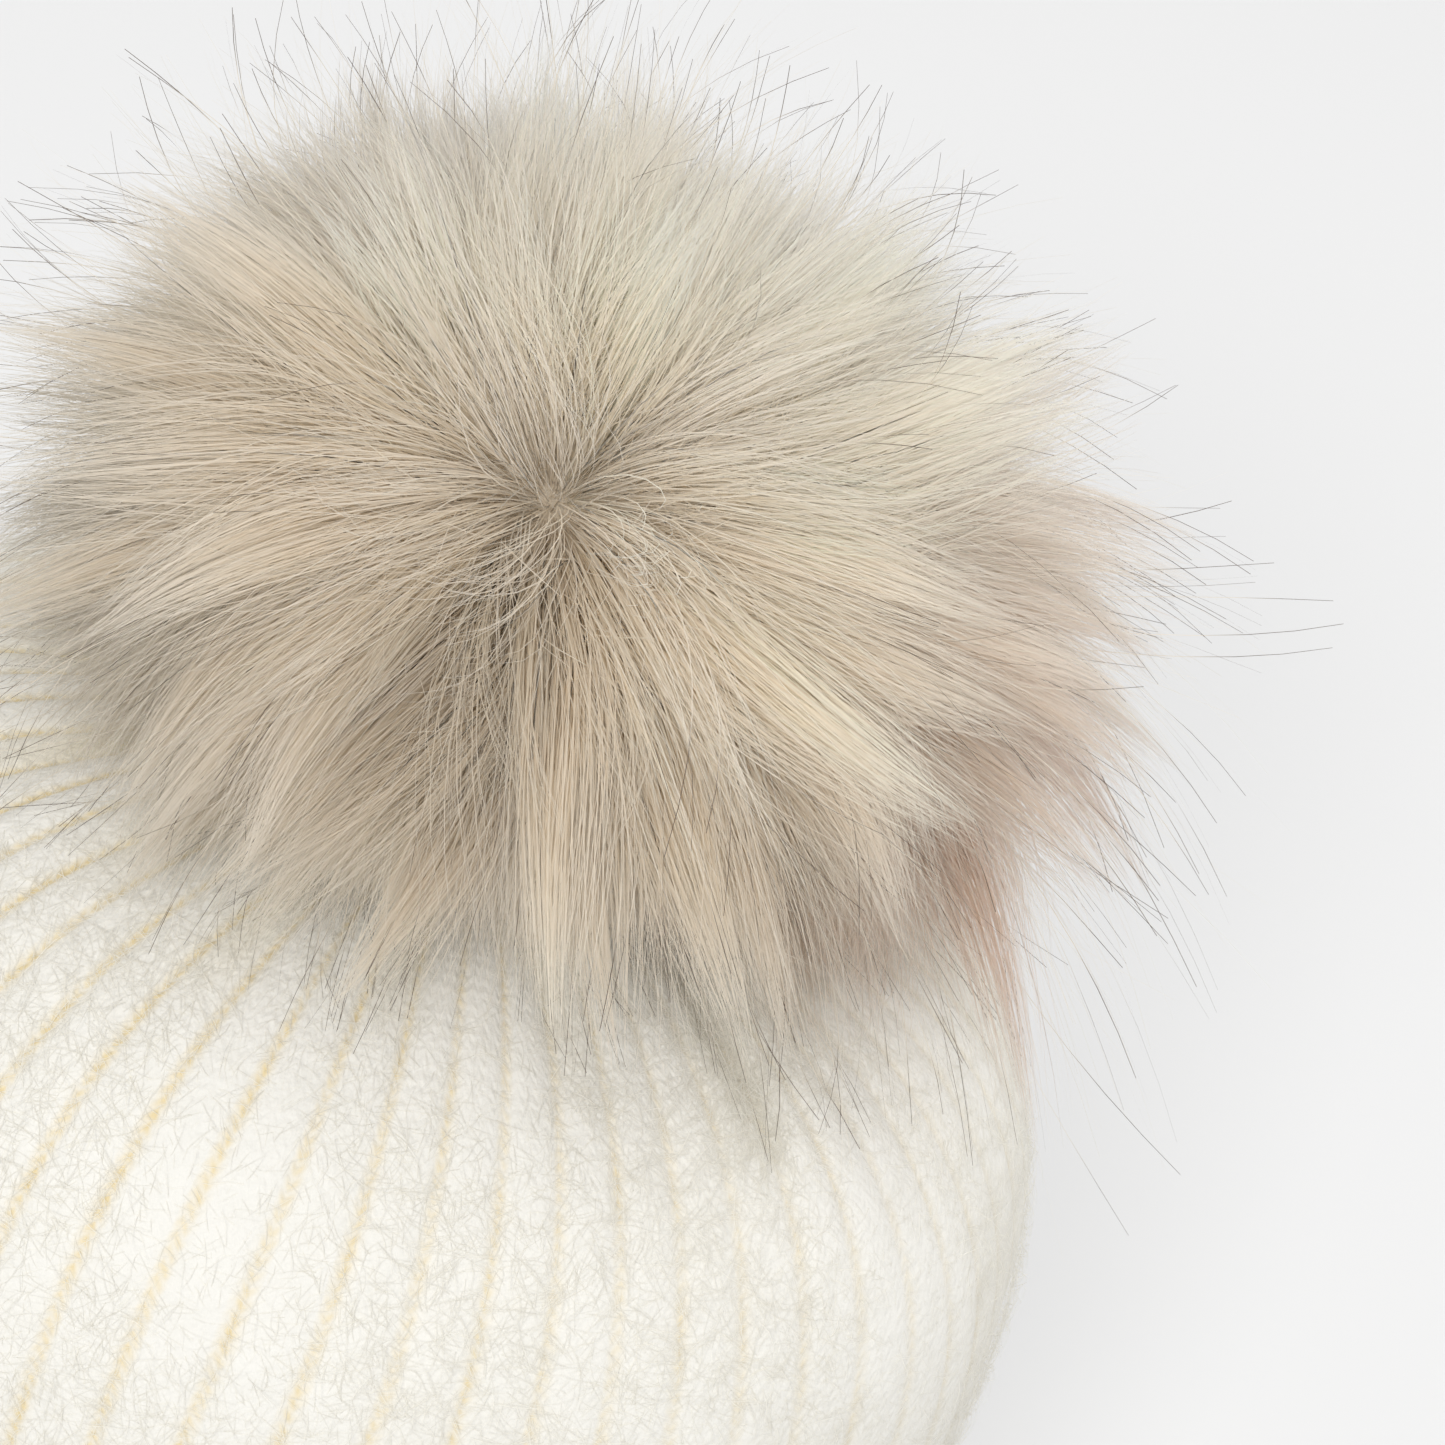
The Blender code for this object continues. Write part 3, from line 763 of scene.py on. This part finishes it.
def make_undercoat(material):
    """Short, soft, tangled wool that fills the pile between the long hairs."""
    rng = np.random.default_rng(47)
    normals = grown_directions(24000, rng)
    paths = grow(normals, rng, 5, (0.012, 0.025), (-22, 20), (0.0, 0.5), (0, 0.75), 0.86)
    taper = np.array([1.0, 1.0, 0.9, 0.7, 0.25])
    paths, widths, facing, roll = lay_pile(paths, rng, (0.0018, 0.0040), (0.00012, 0.00022), taper, 2, 0.5)
    share = np.linspace(0.0, 1.0, 5)[:, None]
    colours = np.array([0.86, 0.77, 0.64]) * (1 - share) + np.array([0.93, 0.86, 0.75]) * share
    # painted shade: the undercoat darker round the whorl, where the pile parts
    shade = 1 - 0.35 * np.exp(-((normals - WHORL) ** 2).sum(axis=1) / 0.02)
    colours = np.clip(colours * (shade * rng.normal(1.0, 0.04, len(normals)))[:, None, None], 0, 0.95)
    return ribbons("undercoat", paths, widths, roll, colours, material, facing)


def make_skirt(material):
    """Hairs around the pouch's mouth that hang to the crown and hide the snap."""
    rng = np.random.default_rng(59)
    steps, locks, count = 7, 130, int(8000 * DENSITY)
    share = np.linspace(0.0, 1.0, steps)[:, None]

    def hang(azimuth, level, length):
        normals = polar(np.sqrt(1 - level ** 2), azimuth, level)
        down = polar(0.50, azimuth, -1.0)
        path = follow(unit(normals[:, None] * (1 - share) + down[:, None] * share))
        root = POM_CENTRE + normals * POUCH_SIZE
        return normals, root[:, None] + path * length[:, None, None]

    lock_turn = rng.uniform(0, math.tau, locks)
    lock_level = rng.uniform(-0.82, -0.40, locks)
    guides = hang(lock_turn, lock_level, rng.uniform(0.022, 0.034, locks))[1]
    index = rng.integers(0, locks, count)
    reach = 1.03 - 0.5 * rng.uniform(0, 1, count) ** 1.4
    turn = lock_turn[index] + rng.normal(0, 0.16, count)
    level = np.clip(lock_level[index] + rng.normal(0, 0.08, count), -0.86, -0.3)
    normals, paths = hang(turn, level, 0.030 * reach)
    paths = clump(paths, guides, index, rng.uniform(0.4, 0.95, count), 1.0, reach)
    taper = np.linspace(1.1, 0.2, steps)
    paths, widths, facing, roll = lay_pile(paths, rng, (0.0018, 0.0050), (0.00010, 0.00018), taper, 3, 0.45)
    colours = fur_colours(paths, normals, np.ones((1, 3)), rng.normal(1.0, 0.03, count))
    return ribbons("skirt_fur", paths, widths, roll, colours, material, facing)


def make_flyaways(material):
    """Fine stray hairs that cross over the locks."""
    rng = np.random.default_rng(31)
    normals = grown_directions(6000, rng)
    normals = normals[normals @ WHORL < 0.90]
    paths = grow(normals, rng, 10, (0.034, 0.060), (-3, 13), (0.0, 0.8), (0, 0.30), (0.95, 1.24))
    taper = np.linspace(1.0, 0.30, 10)
    paths, widths, facing, roll = lay_pile(paths, rng, (0.003, 0.009), (0.00006, 0.00010), taper, 5, 0.6)
    colours = np.ones(paths.shape) * np.array([0.91, 0.86, 0.77])
    colours = np.clip(colours * rng.uniform(0.85, 1.03, len(normals))[:, None, None], 0, 0.95)
    return ribbons("flyaway_hair", paths, widths, roll, colours, material, facing, soft=False)


def make_guard_hair(material):
    """Long coarse hairs in pinches of three, dark for their last half centimetre."""
    rng = np.random.default_rng(23)
    pinch_normals = grown_directions(480, rng)
    count = len(pinch_normals)
    steps, each = 12, 3
    length = rng.uniform(0.044, 0.070, count)
    lean = rng.normal(-8, 12, count)
    droop = rng.uniform(0.1, 0.9, count)
    limit = rng.uniform(1.02, 1.30, count)
    pinches = grow(pinch_normals, rng, steps, length, lean, droop, (0, 0.26), limit)
    index = np.repeat(np.arange(count), each)
    number = len(index)
    normals = unit(pinch_normals[index] + rng.normal(size=(number, 3)) * 0.05)
    paths = grow(normals, rng, steps, length[index] * rng.uniform(0.86, 1.05, number),
                 lean[index] + rng.normal(0, 6, number), droop[index], rng.normal(0, 0.22, number),
                 limit[index] * rng.uniform(0.95, 1.03, number))
    paths = clump(paths, pinches, index, rng.uniform(0.55, 0.97, number), 0.9, np.ones(number))
    paths = rest_on_hat(paths, rng.uniform(0.003, 0.010, number))
    widths = rng.uniform(0.00013, 0.00021, number)[:, None] * np.linspace(1.0, 0.35, steps)
    share = np.linspace(0, 1, steps)[:, None]
    dark = np.clip((share - rng.uniform(0.70, 0.86, number)[:, None, None]) / 0.06, 0, 1)
    colours = np.array([0.86, 0.80, 0.70]) * (1 - dark) + np.array([0.13, 0.095, 0.075]) * dark
    facing = pile_facing(paths)
    roll = unit(facing[:, 6] + 0.8 * rng.normal(size=normals.shape))
    return ribbons("guard_hair", paths, widths, roll, colours, material, facing, soft=False)


# ---- fuzz on the knit ----
def make_fuzz(material):
    """The brushed knit's fuzz over the whole outside, in four pieces."""
    rng = np.random.default_rng(5)
    profile = hat_profile(400, 0.0, 0.03)
    area = np.cumsum(profile[0]) / profile[0].sum()
    count = int(30000 * DENSITY)
    pieces = []
    for number in range(4):
        place = np.searchsorted(area, rng.uniform(0, 1, count))
        base = fuzz_base(rng.uniform(0, math.tau, count), place, profile)
        pieces.append(lay_fibres(f"knit_fuzz_{number + 1}", base, rng, material, 0.0024, 0.0062))
    return pieces


def make_pinch_fluff(material):
    """Long loose fibres that spring from the deep pinch by the right shoulder."""
    rng = np.random.default_rng(71)
    profile = hat_profile(400, 0.0, 0.03)
    count = int(900 * DENSITY)
    centre, width, length = (GATHERS[0][i] for i in (0, 1, 3))
    azimuth = np.radians(centre + rng.normal(0, width * 0.8, count))
    place = np.searchsorted(profile[2], rng.uniform(0.45, 0.95, count) * length)
    return lay_fibres("pinch_fluff", fuzz_base(azimuth, place, profile), rng, material, 0.004, 0.010)


def fuzz_base(azimuth, place, profile):
    """Points on the ribbed knit with their outward normals and down-the-wale tangents."""
    place = np.clip(place, 1, len(profile[0]) - 2)
    radius, height, run = (part[place] for part in profile)
    normal_r, normal_z = (part[place, 0] for part in outward(*profile[:2]))
    out = rib_depth(azimuth, run) * (rib_shape(rib_turns(azimuth, run)) - RIB_MIDDLE)
    out = out - gather_depth(azimuth, run)
    points = polar(radius + out * normal_r, azimuth, height + out * normal_z, OVAL)
    normal = polar(normal_r, azimuth, normal_z, 1 / OVAL)
    return points, unit(normal), unit(polar(normal_z, azimuth, -normal_r, OVAL))


def lay_fibres(name, base, rng, material, shortest, longest):
    """Short curved fibres that lift off a surface and lie back along it."""
    points, normal, down = base
    count = len(points)
    angle = rng.uniform(0, math.tau, count)[:, None]
    lie = down * np.cos(angle) + unit(np.cross(normal, down)) * np.sin(angle)
    length = rng.uniform(shortest, longest, count)[:, None]
    lift = rng.uniform(0.1, 0.9, count)[:, None] ** 1.6
    share = np.array([0.0, 0.35, 0.7, 1.0])
    curl = rng.normal(0, 0.35, count)[:, None]
    rise = lift * np.array([0.0, 0.24, 0.36, 0.34]) * length
    sideways = curl * share ** 2 * length
    across = np.cross(normal, lie)[:, None] * sideways[:, :, None]
    onward = lie[:, None] * (share * length)[:, :, None]
    paths = points[:, None] + normal[:, None] * rise[:, :, None] + onward + across
    widths = rng.uniform(0.00005, 0.00009, count)[:, None] * np.array([1.0, 1.0, 0.8, 0.3])
    shade = rng.uniform(0.90, 1.03, count)[:, None, None]
    colours = np.clip(np.ones(paths.shape) * np.array([0.88, 0.86, 0.80]) * shade, 0, 0.95)
    roll = unit(normal + 0.3 * rng.normal(size=normal.shape))
    facing = np.broadcast_to(normal[:, None, :], paths.shape)
    return ribbons(name, paths, widths, roll, colours, material, facing, soft=False)


# ---- lining, label, seam and threads ----
def cloth_material(name, light, dark, weave, strength, roughness=0.85, sheen=0.2):
    """Cloth with a fine woven or plush relief and a little unevenness of colour."""
    finish = Finish(name, light, roughness, sheen)
    x, y, z = finish.parts(finish.place())
    around = finish.math("ARCTAN2", y, x)
    across = finish.math("SINE", finish.math("MULTIPLY", around, weave * 0.06))
    along = finish.math("SINE", finish.math("MULTIPLY", z, weave))
    threads = finish.math("MULTIPLY", across, along)
    finish.bump(finish.math("MULTIPLY_ADD", threads, 0.35, finish.noise(700.0, 3.0)), strength, 0.0004)
    finish.set("Base Color", finish.mix(finish.noise(120.0, 3.0), dark, light))
    return finish.material


def thread_material():
    """Twisted sewing thread: fine slanting relief and a slight gloss."""
    finish = Finish("sewing_thread", (0.84, 0.80, 0.71), 0.55, 0.1)
    wave = finish.add("ShaderNodeTexWave", (finish.place(), 900.0, 1.5), wave_type="BANDS",
                      bands_direction="DIAGONAL").outputs["Fac"]
    finish.bump(wave, 0.5, 0.0001)
    finish.set("Base Color", finish.mix(wave, (0.74, 0.69, 0.59), (0.88, 0.85, 0.77)))
    return finish.material


def steel_material():
    """Plated steel with faint wear and fine scratches."""
    finish = Finish("plated_steel", (0.66, 0.66, 0.67), 0.28, 0.0, 1.0)
    wear = finish.noise(420.0, 4.0)
    finish.set("Roughness", finish.math("MULTIPLY_ADD", wear, 0.28, 0.16))
    finish.set("Base Color", finish.mix(wear, (0.52, 0.52, 0.53), (0.74, 0.74, 0.75)))
    finish.bump(finish.noise(1800.0), 0.12, 0.0001)
    return finish.material


def board_material():
    """Stiff fibreboard with pressed flecks."""
    finish = Finish("fibreboard", (0.62, 0.52, 0.38), 0.8)
    flecks = finish.noise(1100.0, 5.0)
    finish.set("Base Color", finish.mix(flecks, (0.45, 0.36, 0.24), (0.78, 0.70, 0.56)))
    finish.bump(flecks, 0.3, 0.0002)
    return finish.material


def make_lining(fleece, fibre, thread):
    """The brushed fleece band behind the brow, its nap, and the zigzag that holds its top edge."""
    outer, top, low = LINING_HIGH.x, LINING_HIGH.z, LINING_LOW.z
    inner = outer - 0.0021
    edge = 0.0008
    profile = [(outer, top - edge), (outer, (top + low) / 2), (outer, low + edge), (outer - 0.0007, low),
               (inner + 0.0006, low), (inner, low + edge)]
    profile += [(inner, low + (top - low) * i / 9) for i in range(1, 9)]
    profile += [(inner, top - edge), (inner + 0.0006, top), (outer - 0.0007, top)]

    def uneven(azimuth, radius, height):
        inside = radius < outer - 0.0010
        return inside * 0.00025 * (np.sin(23 * azimuth + 300 * height) + np.sin(41 * azimuth - 170 * height))

    band = revolve("fleece_band", profile, 288, OVAL, fleece, uneven)
    rng = np.random.default_rng(61)
    count = int(16000 * DENSITY)
    place, out = ring_places(inner, OVAL, 0.0, rng.uniform(0, math.tau, count))
    place[:, 2] = rng.uniform(low + 0.001, top - 0.001, count)
    facing = -unit(out * np.array([1.0, 1.0 / OVAL, 0.0]))
    nap_base = (place, facing, np.broadcast_to(-UP, place.shape))
    nap = lay_fibres("fleece_nap", nap_base, rng, fibre, 0.0012, 0.0026)
    thread_low, thread_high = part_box("lining_thread")
    turns = np.linspace(0.0, math.tau, 181)
    places, outs = ring_places(inner - 0.0003, OVAL, (thread_low.z + thread_high.z) / 2, turns)
    places[:, 2] += np.where(np.arange(181) % 2, 0.0012, -0.0012)
    zigzag = stitches("lining_zigzag", places[:-1], places[1:], -outs[:-1] * 0.0003, 0.00028, thread)
    return band, nap, zigzag


def make_label(tape, thread):
    """A blank satin label, folded in half, and the stitches along its top."""
    low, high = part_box("care_label")
    rows, columns, fold = 45, 20, 0.0006
    drop = high.z - low.z
    share = np.linspace(0.0, 1.0, rows)[:, None]
    path_y = np.where(share < 0.5, -fold, fold) * np.clip(np.abs(share - 0.5) * 30, 0, 1)
    path_z = high.z - drop * np.clip(1 - np.abs(share - 0.5) * 2, 0, 0.985)
    across = np.linspace(low.x, high.x, columns)
    bow = 0.0011 * np.sin((across - low.x) / (high.x - low.x) * math.pi)
    hang = 0.0030 * ((high.z - path_z) / drop) ** 2
    y = (low.y + high.y) / 2 + path_y - hang + bow
    points = np.stack(np.broadcast_arrays(across, y, path_z), axis=-1)
    label = mesh_object("folded_label", points, grid_faces(rows, columns, wrap=False), tape)
    low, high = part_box("care_label_thread")
    starts = np.array([[low.x + 0.0003 + 0.0021 * i, low.y + 0.0001, (low.z + high.z) / 2] for i in range(9)])
    ends = starts + np.array([0.0017, 0.0, 0.0])
    row = stitches("label_stitches", starts, ends, np.array([0.0, -0.0003, 0.0]), 0.00022, thread)
    return label, row


def make_seam(knit, thread):
    """The rolled seam allowance up the back of the inside, whipped round with yarn."""
    radius, height, run = hat_profile(160, KNIT)
    keep = (radius > 0.026) & (height > LINING_HIGH.z + 0.003)
    seam = 0.0016
    drop = 0.0022 * np.clip((height - BELLY_LEVEL) / (CROWN - KNIT - BELLY_LEVEL), 0, 1)
    path = np.stack([np.zeros_like(radius), radius * OVAL - seam - 0.0011, height - drop], axis=-1)[keep]
    size = seam * (1 + 0.10 * np.sin(run[keep] * 1600.0))
    order = np.arange(len(path))
    ends = np.clip(np.minimum(order, order[::-1]) / 3, 0.05, 1) ** 0.5
    side = np.array([1.0, 0.0, 0.0])
    roll = tubes("seam_roll", path[None], size * ends, side, knit, sides=14)
    cross = unit(np.cross(unit(np.gradient(path, axis=0)), side))
    cross = cross * np.sign(cross @ np.array([0.0, -1.0, -0.2]))[:, None]
    left = path[2:-4:2] - side * seam
    right = path[4:-2:2] + side * seam
    whip = stitches("seam_whipping", left, right, cross[3:-3:2][:len(left)] * seam * 1.15, 0.00028, thread)
    return roll, whip


def make_crown_stay(yarn, patch, thread):
    """The gathering yarn, the sewn patch behind the snap, and the patch's ring of stitches."""
    gather = twisted_ring("gather_yarn", "crown_gather_yarn", OVAL, 44, 1.0, yarn)
    low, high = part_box("crown_patch")
    hole, edge, bevel = 0.0040, high.x, 0.0004
    steps = [(edge - hole - bevel) * i / 8 for i in range(9)]
    profile = [(hole + step, high.z) for step in steps] + [(edge, (low.z + high.z) / 2)]
    profile += [(edge - bevel - step, low.z) for step in steps]

    def frayed(azimuth, radius, height):
        return (radius > edge - 0.001) * 0.0003 * np.sin(34 * azimuth) * np.sin(13 * azimuth + 1.0)

    disc = revolve("patch_disc", profile, 144, 1.0, patch, frayed)
    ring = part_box("crown_patch_thread")[1]
    turns = np.linspace(0.0, math.tau, 36, endpoint=False)
    starts, ends = (polar(ring.x - 0.0003, turn, ring.z) for turn in (turns, turns + math.tau / 36 * 0.68))
    row = stitches("patch_stitches", starts, ends, -0.0004 * UP, 0.00026, thread)
    return gather, disc, row


def make_tack(number, thread):
    """A bar tack on the cuff: close satin stitches, one above the other."""
    low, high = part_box(f"cuff_tack_{number}")
    middle = np.array([(low.x + high.x) / 2, (low.y + high.y) / 2, 0.0])
    out = unit(middle)
    across = np.cross(out, UP)
    levels = np.linspace(low.z, high.z, 13)[:, None]
    starts = middle - out * 0.0005 - across * 0.0012 + UP * levels
    ends = starts + across * 0.0024 + UP * 0.0003
    return stitches(f"bar_tack_{number}", starts, ends, out * 0.0006, 0.00030, thread)


def ellipse(radius, rise, level, last, count):
    """Points of (radius, height) down an ellipse from its top to the last angle, none quite on the axis."""
    angles = [last * i / count for i in range(count + 1)]
    return [(max(radius * math.sin(angle), AXIS), level + rise * math.cos(angle)) for angle in angles]


def make_pouch(ground, cord, fill):
    """The fur cloth's woven ground gathered into a pouch, its drawstring, and the fibre ball inside."""
    wall = 0.0014
    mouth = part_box("pom_drawstring")[1].x - 0.0005
    outer = ellipse(CORE, CORE_RISE, CORE_LEVEL, math.pi - math.asin(mouth / CORE), 39)
    shrink = 1 - wall / CORE_RISE
    inner = [(max(r - min(wall, r), AXIS), CORE_LEVEL + (z - CORE_LEVEL) * shrink) for r, z in outer[::-1]]

    def pleats(azimuth, radius, height):
        near = np.clip((CORE_LEVEL - height) / CORE_RISE, 0, 1) ** 3
        return near * 0.0006 * np.sin(26 * azimuth) * (radius > 0.004)

    pouch = revolve("woven_pouch", outer + inner, 156, 1.0, ground, pleats)
    string = twisted_ring("pouch_drawstring", "pom_drawstring", 1.0, 30, 0.95, cord)
    low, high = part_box("pom_stuffing")
    ball = ellipse(high.x, (high.z - low.z) / 2, (low.z + high.z) / 2, math.pi, 40)

    def lumps(azimuth, radius, height):
        return -0.0006 * (radius > 0.003) * (1 + np.sin(5 * azimuth + 260 * height) * np.cos(9 * azimuth))

    return pouch, string, revolve("fibre_ball", ball, 96, 1.0, fill, lumps)


# ---- camera, floor and light ----
def make_camera():
    """Looks down at the pom and the right shoulder of the hat, with the hat's axis leaning right."""
    data = bpy.data.cameras.new("camera")
    camera = bpy.data.objects.new("camera", data)
    bpy.context.scene.collection.objects.link(camera)
    data.lens = 130.0
    data.sensor_width = 36.0
    distance = 0.65
    back = Vector((0.0, -math.cos(VIEW_ELEVATION), math.sin(VIEW_ELEVATION)))
    right = Vector((1.0, 0.0, 0.0))
    up = back.cross(right)
    # the pom's middle stands left of and above the picture's middle, in shares of the frame
    pom_x, pom_y = -0.107, 0.160
    roll_right = right * math.cos(VIEW_ROLL) - up * math.sin(VIEW_ROLL)
    roll_up = up * math.cos(VIEW_ROLL) + right * math.sin(VIEW_ROLL)
    across = distance * data.sensor_width / data.lens
    target = Vector((0.0, 0.0, POM_LEVEL))
    target = target - roll_right * pom_x * across - roll_up * pom_y * across
    rotation = Matrix((roll_right, roll_up, back)).transposed()
    camera.matrix_world = Matrix.Translation(target + back * distance) @ rotation.to_4x4()
    data.clip_start = 0.01
    data.clip_end = 20.0
    bpy.context.scene.camera = camera


def make_stage():
    """A wide pale floor, kept out of the object's own pieces."""
    bpy.ops.mesh.primitive_plane_add(size=8.0, location=(0.0, 0.0, 0.0))
    floor = bpy.context.active_object
    floor.name = "floor"
    floor.data.materials.append(Finish("floor", (0.745, 0.745, 0.745), 0.9).material)


def make_light(name, place, target, size, power):
    data = bpy.data.lights.new(name, "AREA")
    data.shape = "DISK"
    data.size = size
    data.energy = power
    lamp = bpy.data.objects.new(name, data)
    bpy.context.scene.collection.objects.link(lamp)
    lamp.location = place
    lamp.rotation_euler = (Vector(target) - Vector(place)).to_track_quat("-Z", "Y").to_euler()


def make_lights():
    world = bpy.data.worlds.new("studio")
    world.use_nodes = True
    world.node_tree.nodes["Background"].inputs["Color"].default_value = (1.0, 1.0, 1.0, 1.0)
    world.node_tree.nodes["Background"].inputs["Strength"].default_value = 0.76
    bpy.context.scene.world = world
    make_light("key", (-0.10, -1.4, 1.1), (0.0, 0.0, 0.18), 1.3, 2.5)
    make_light("accent", (-0.20, -1.36, 1.15), (0.0, 0.0, 0.18), 0.35, 10.0)
    make_light("rim", (0.4, 0.7, 1.7), (0.0, 0.0, 0.22), 1.2, 10.5)
    bpy.context.scene.view_settings.view_transform = "Standard"


def settle(item, body, slot, *nodes):
    """Ride on a body and stand for its CAD nodes; the slot is not used."""
    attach(item, body)
    if nodes:
        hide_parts(*nodes)


def build_hat():
    knit = knit_material("brushed_knit")
    fibre = strand_material("knit_fibre", 0.9, 0.5)
    thread = thread_material()
    outside, inside, cuff = make_knit_body(knit), make_knit_inside(knit), make_cuff(knit)
    settle(outside, "hat", "cream_knit", "knit_body")
    settle(inside, "hat", "cream_knit", "knit_body")
    settle(cuff, "hat", "cream_knit", "turn_up_cuff")
    for item in make_fuzz(fibre) + [make_pinch_fluff(fibre)]:
        settle(item, "hat", "cream_knit")
    fleece = cloth_material("brushed_fleece", (0.88, 0.86, 0.80), (0.80, 0.77, 0.70), 2400.0, 0.6, 0.95, 0.4)
    band, nap, zigzag = make_lining(fleece, fibre, thread)
    settle(band, "hat", "fleece", "lining_band")
    settle(nap, "hat", "fleece")
    settle(zigzag, "hat", "thread", "lining_thread")
    tape = cloth_material("satin_tape", (0.90, 0.90, 0.88), (0.86, 0.86, 0.84), 9000.0, 0.25, 0.45, 0.1)
    label, row = make_label(tape, thread)
    settle(label, "hat", "label_tape", "care_label")
    settle(row, "hat", "thread", "care_label_thread")
    roll, whip = make_seam(knit, thread)
    settle(roll, "hat", "cream_knit", "back_seam")
    settle(whip, "hat", "thread", "back_seam")
    patch = cloth_material("patch_twill", (0.82, 0.79, 0.72), (0.74, 0.70, 0.62), 5200.0, 0.5)
    gather, disc, stitching = make_crown_stay(thread, patch, thread)
    settle(gather, "hat", "cream_knit", "crown_gather_yarn")
    settle(disc, "hat", "patch_cloth", "crown_patch")
    settle(stitching, "hat", "thread", "crown_patch_thread")
    for number in range(1, 5):
        settle(make_tack(number, thread), "hat", "thread", f"cuff_tack_{number}")


def build_pom():
    fur = strand_material("fur_fibre", 0.65, 0.60)
    pile = make_underfur(fur)
    makers = (make_tresses, make_skirt, make_undercoat, make_flyaways, make_guard_hair)
    for item in pile + [make(fur) for make in makers]:
        settle(item, "pom", "faux_fur", "pom_fur")
    ground = cloth_material("fur_ground_cloth", (0.74, 0.66, 0.54), (0.62, 0.53, 0.41), 4200.0, 0.5)
    fill = cloth_material("fibre_fill", (0.92, 0.92, 0.90), (0.84, 0.84, 0.82), 300.0, 0.9, 0.95)
    pouch, string, ball = make_pouch(ground, thread_material(), fill)
    settle(pouch, "pom", "fur_ground", "pom_backing")
    settle(string, "pom", "thread", "pom_drawstring")
    settle(ball, "pom", "fibre_fill", "pom_stuffing")


def finish_hardware():
    """Better materials on the CAD's own snap and base disc."""
    steel = steel_material()
    for name in ("snap_cap", "snap_stud", "snap_spring", "snap_socket", "snap_back"):
        NODES[name].material_slots[0].material = steel
    NODES["pom_base_disc"].material_slots[0].material = board_material()


def build():
    make_camera()
    make_stage()
    make_lights()
    build_hat()
    build_pom()
    finish_hardware()


build()
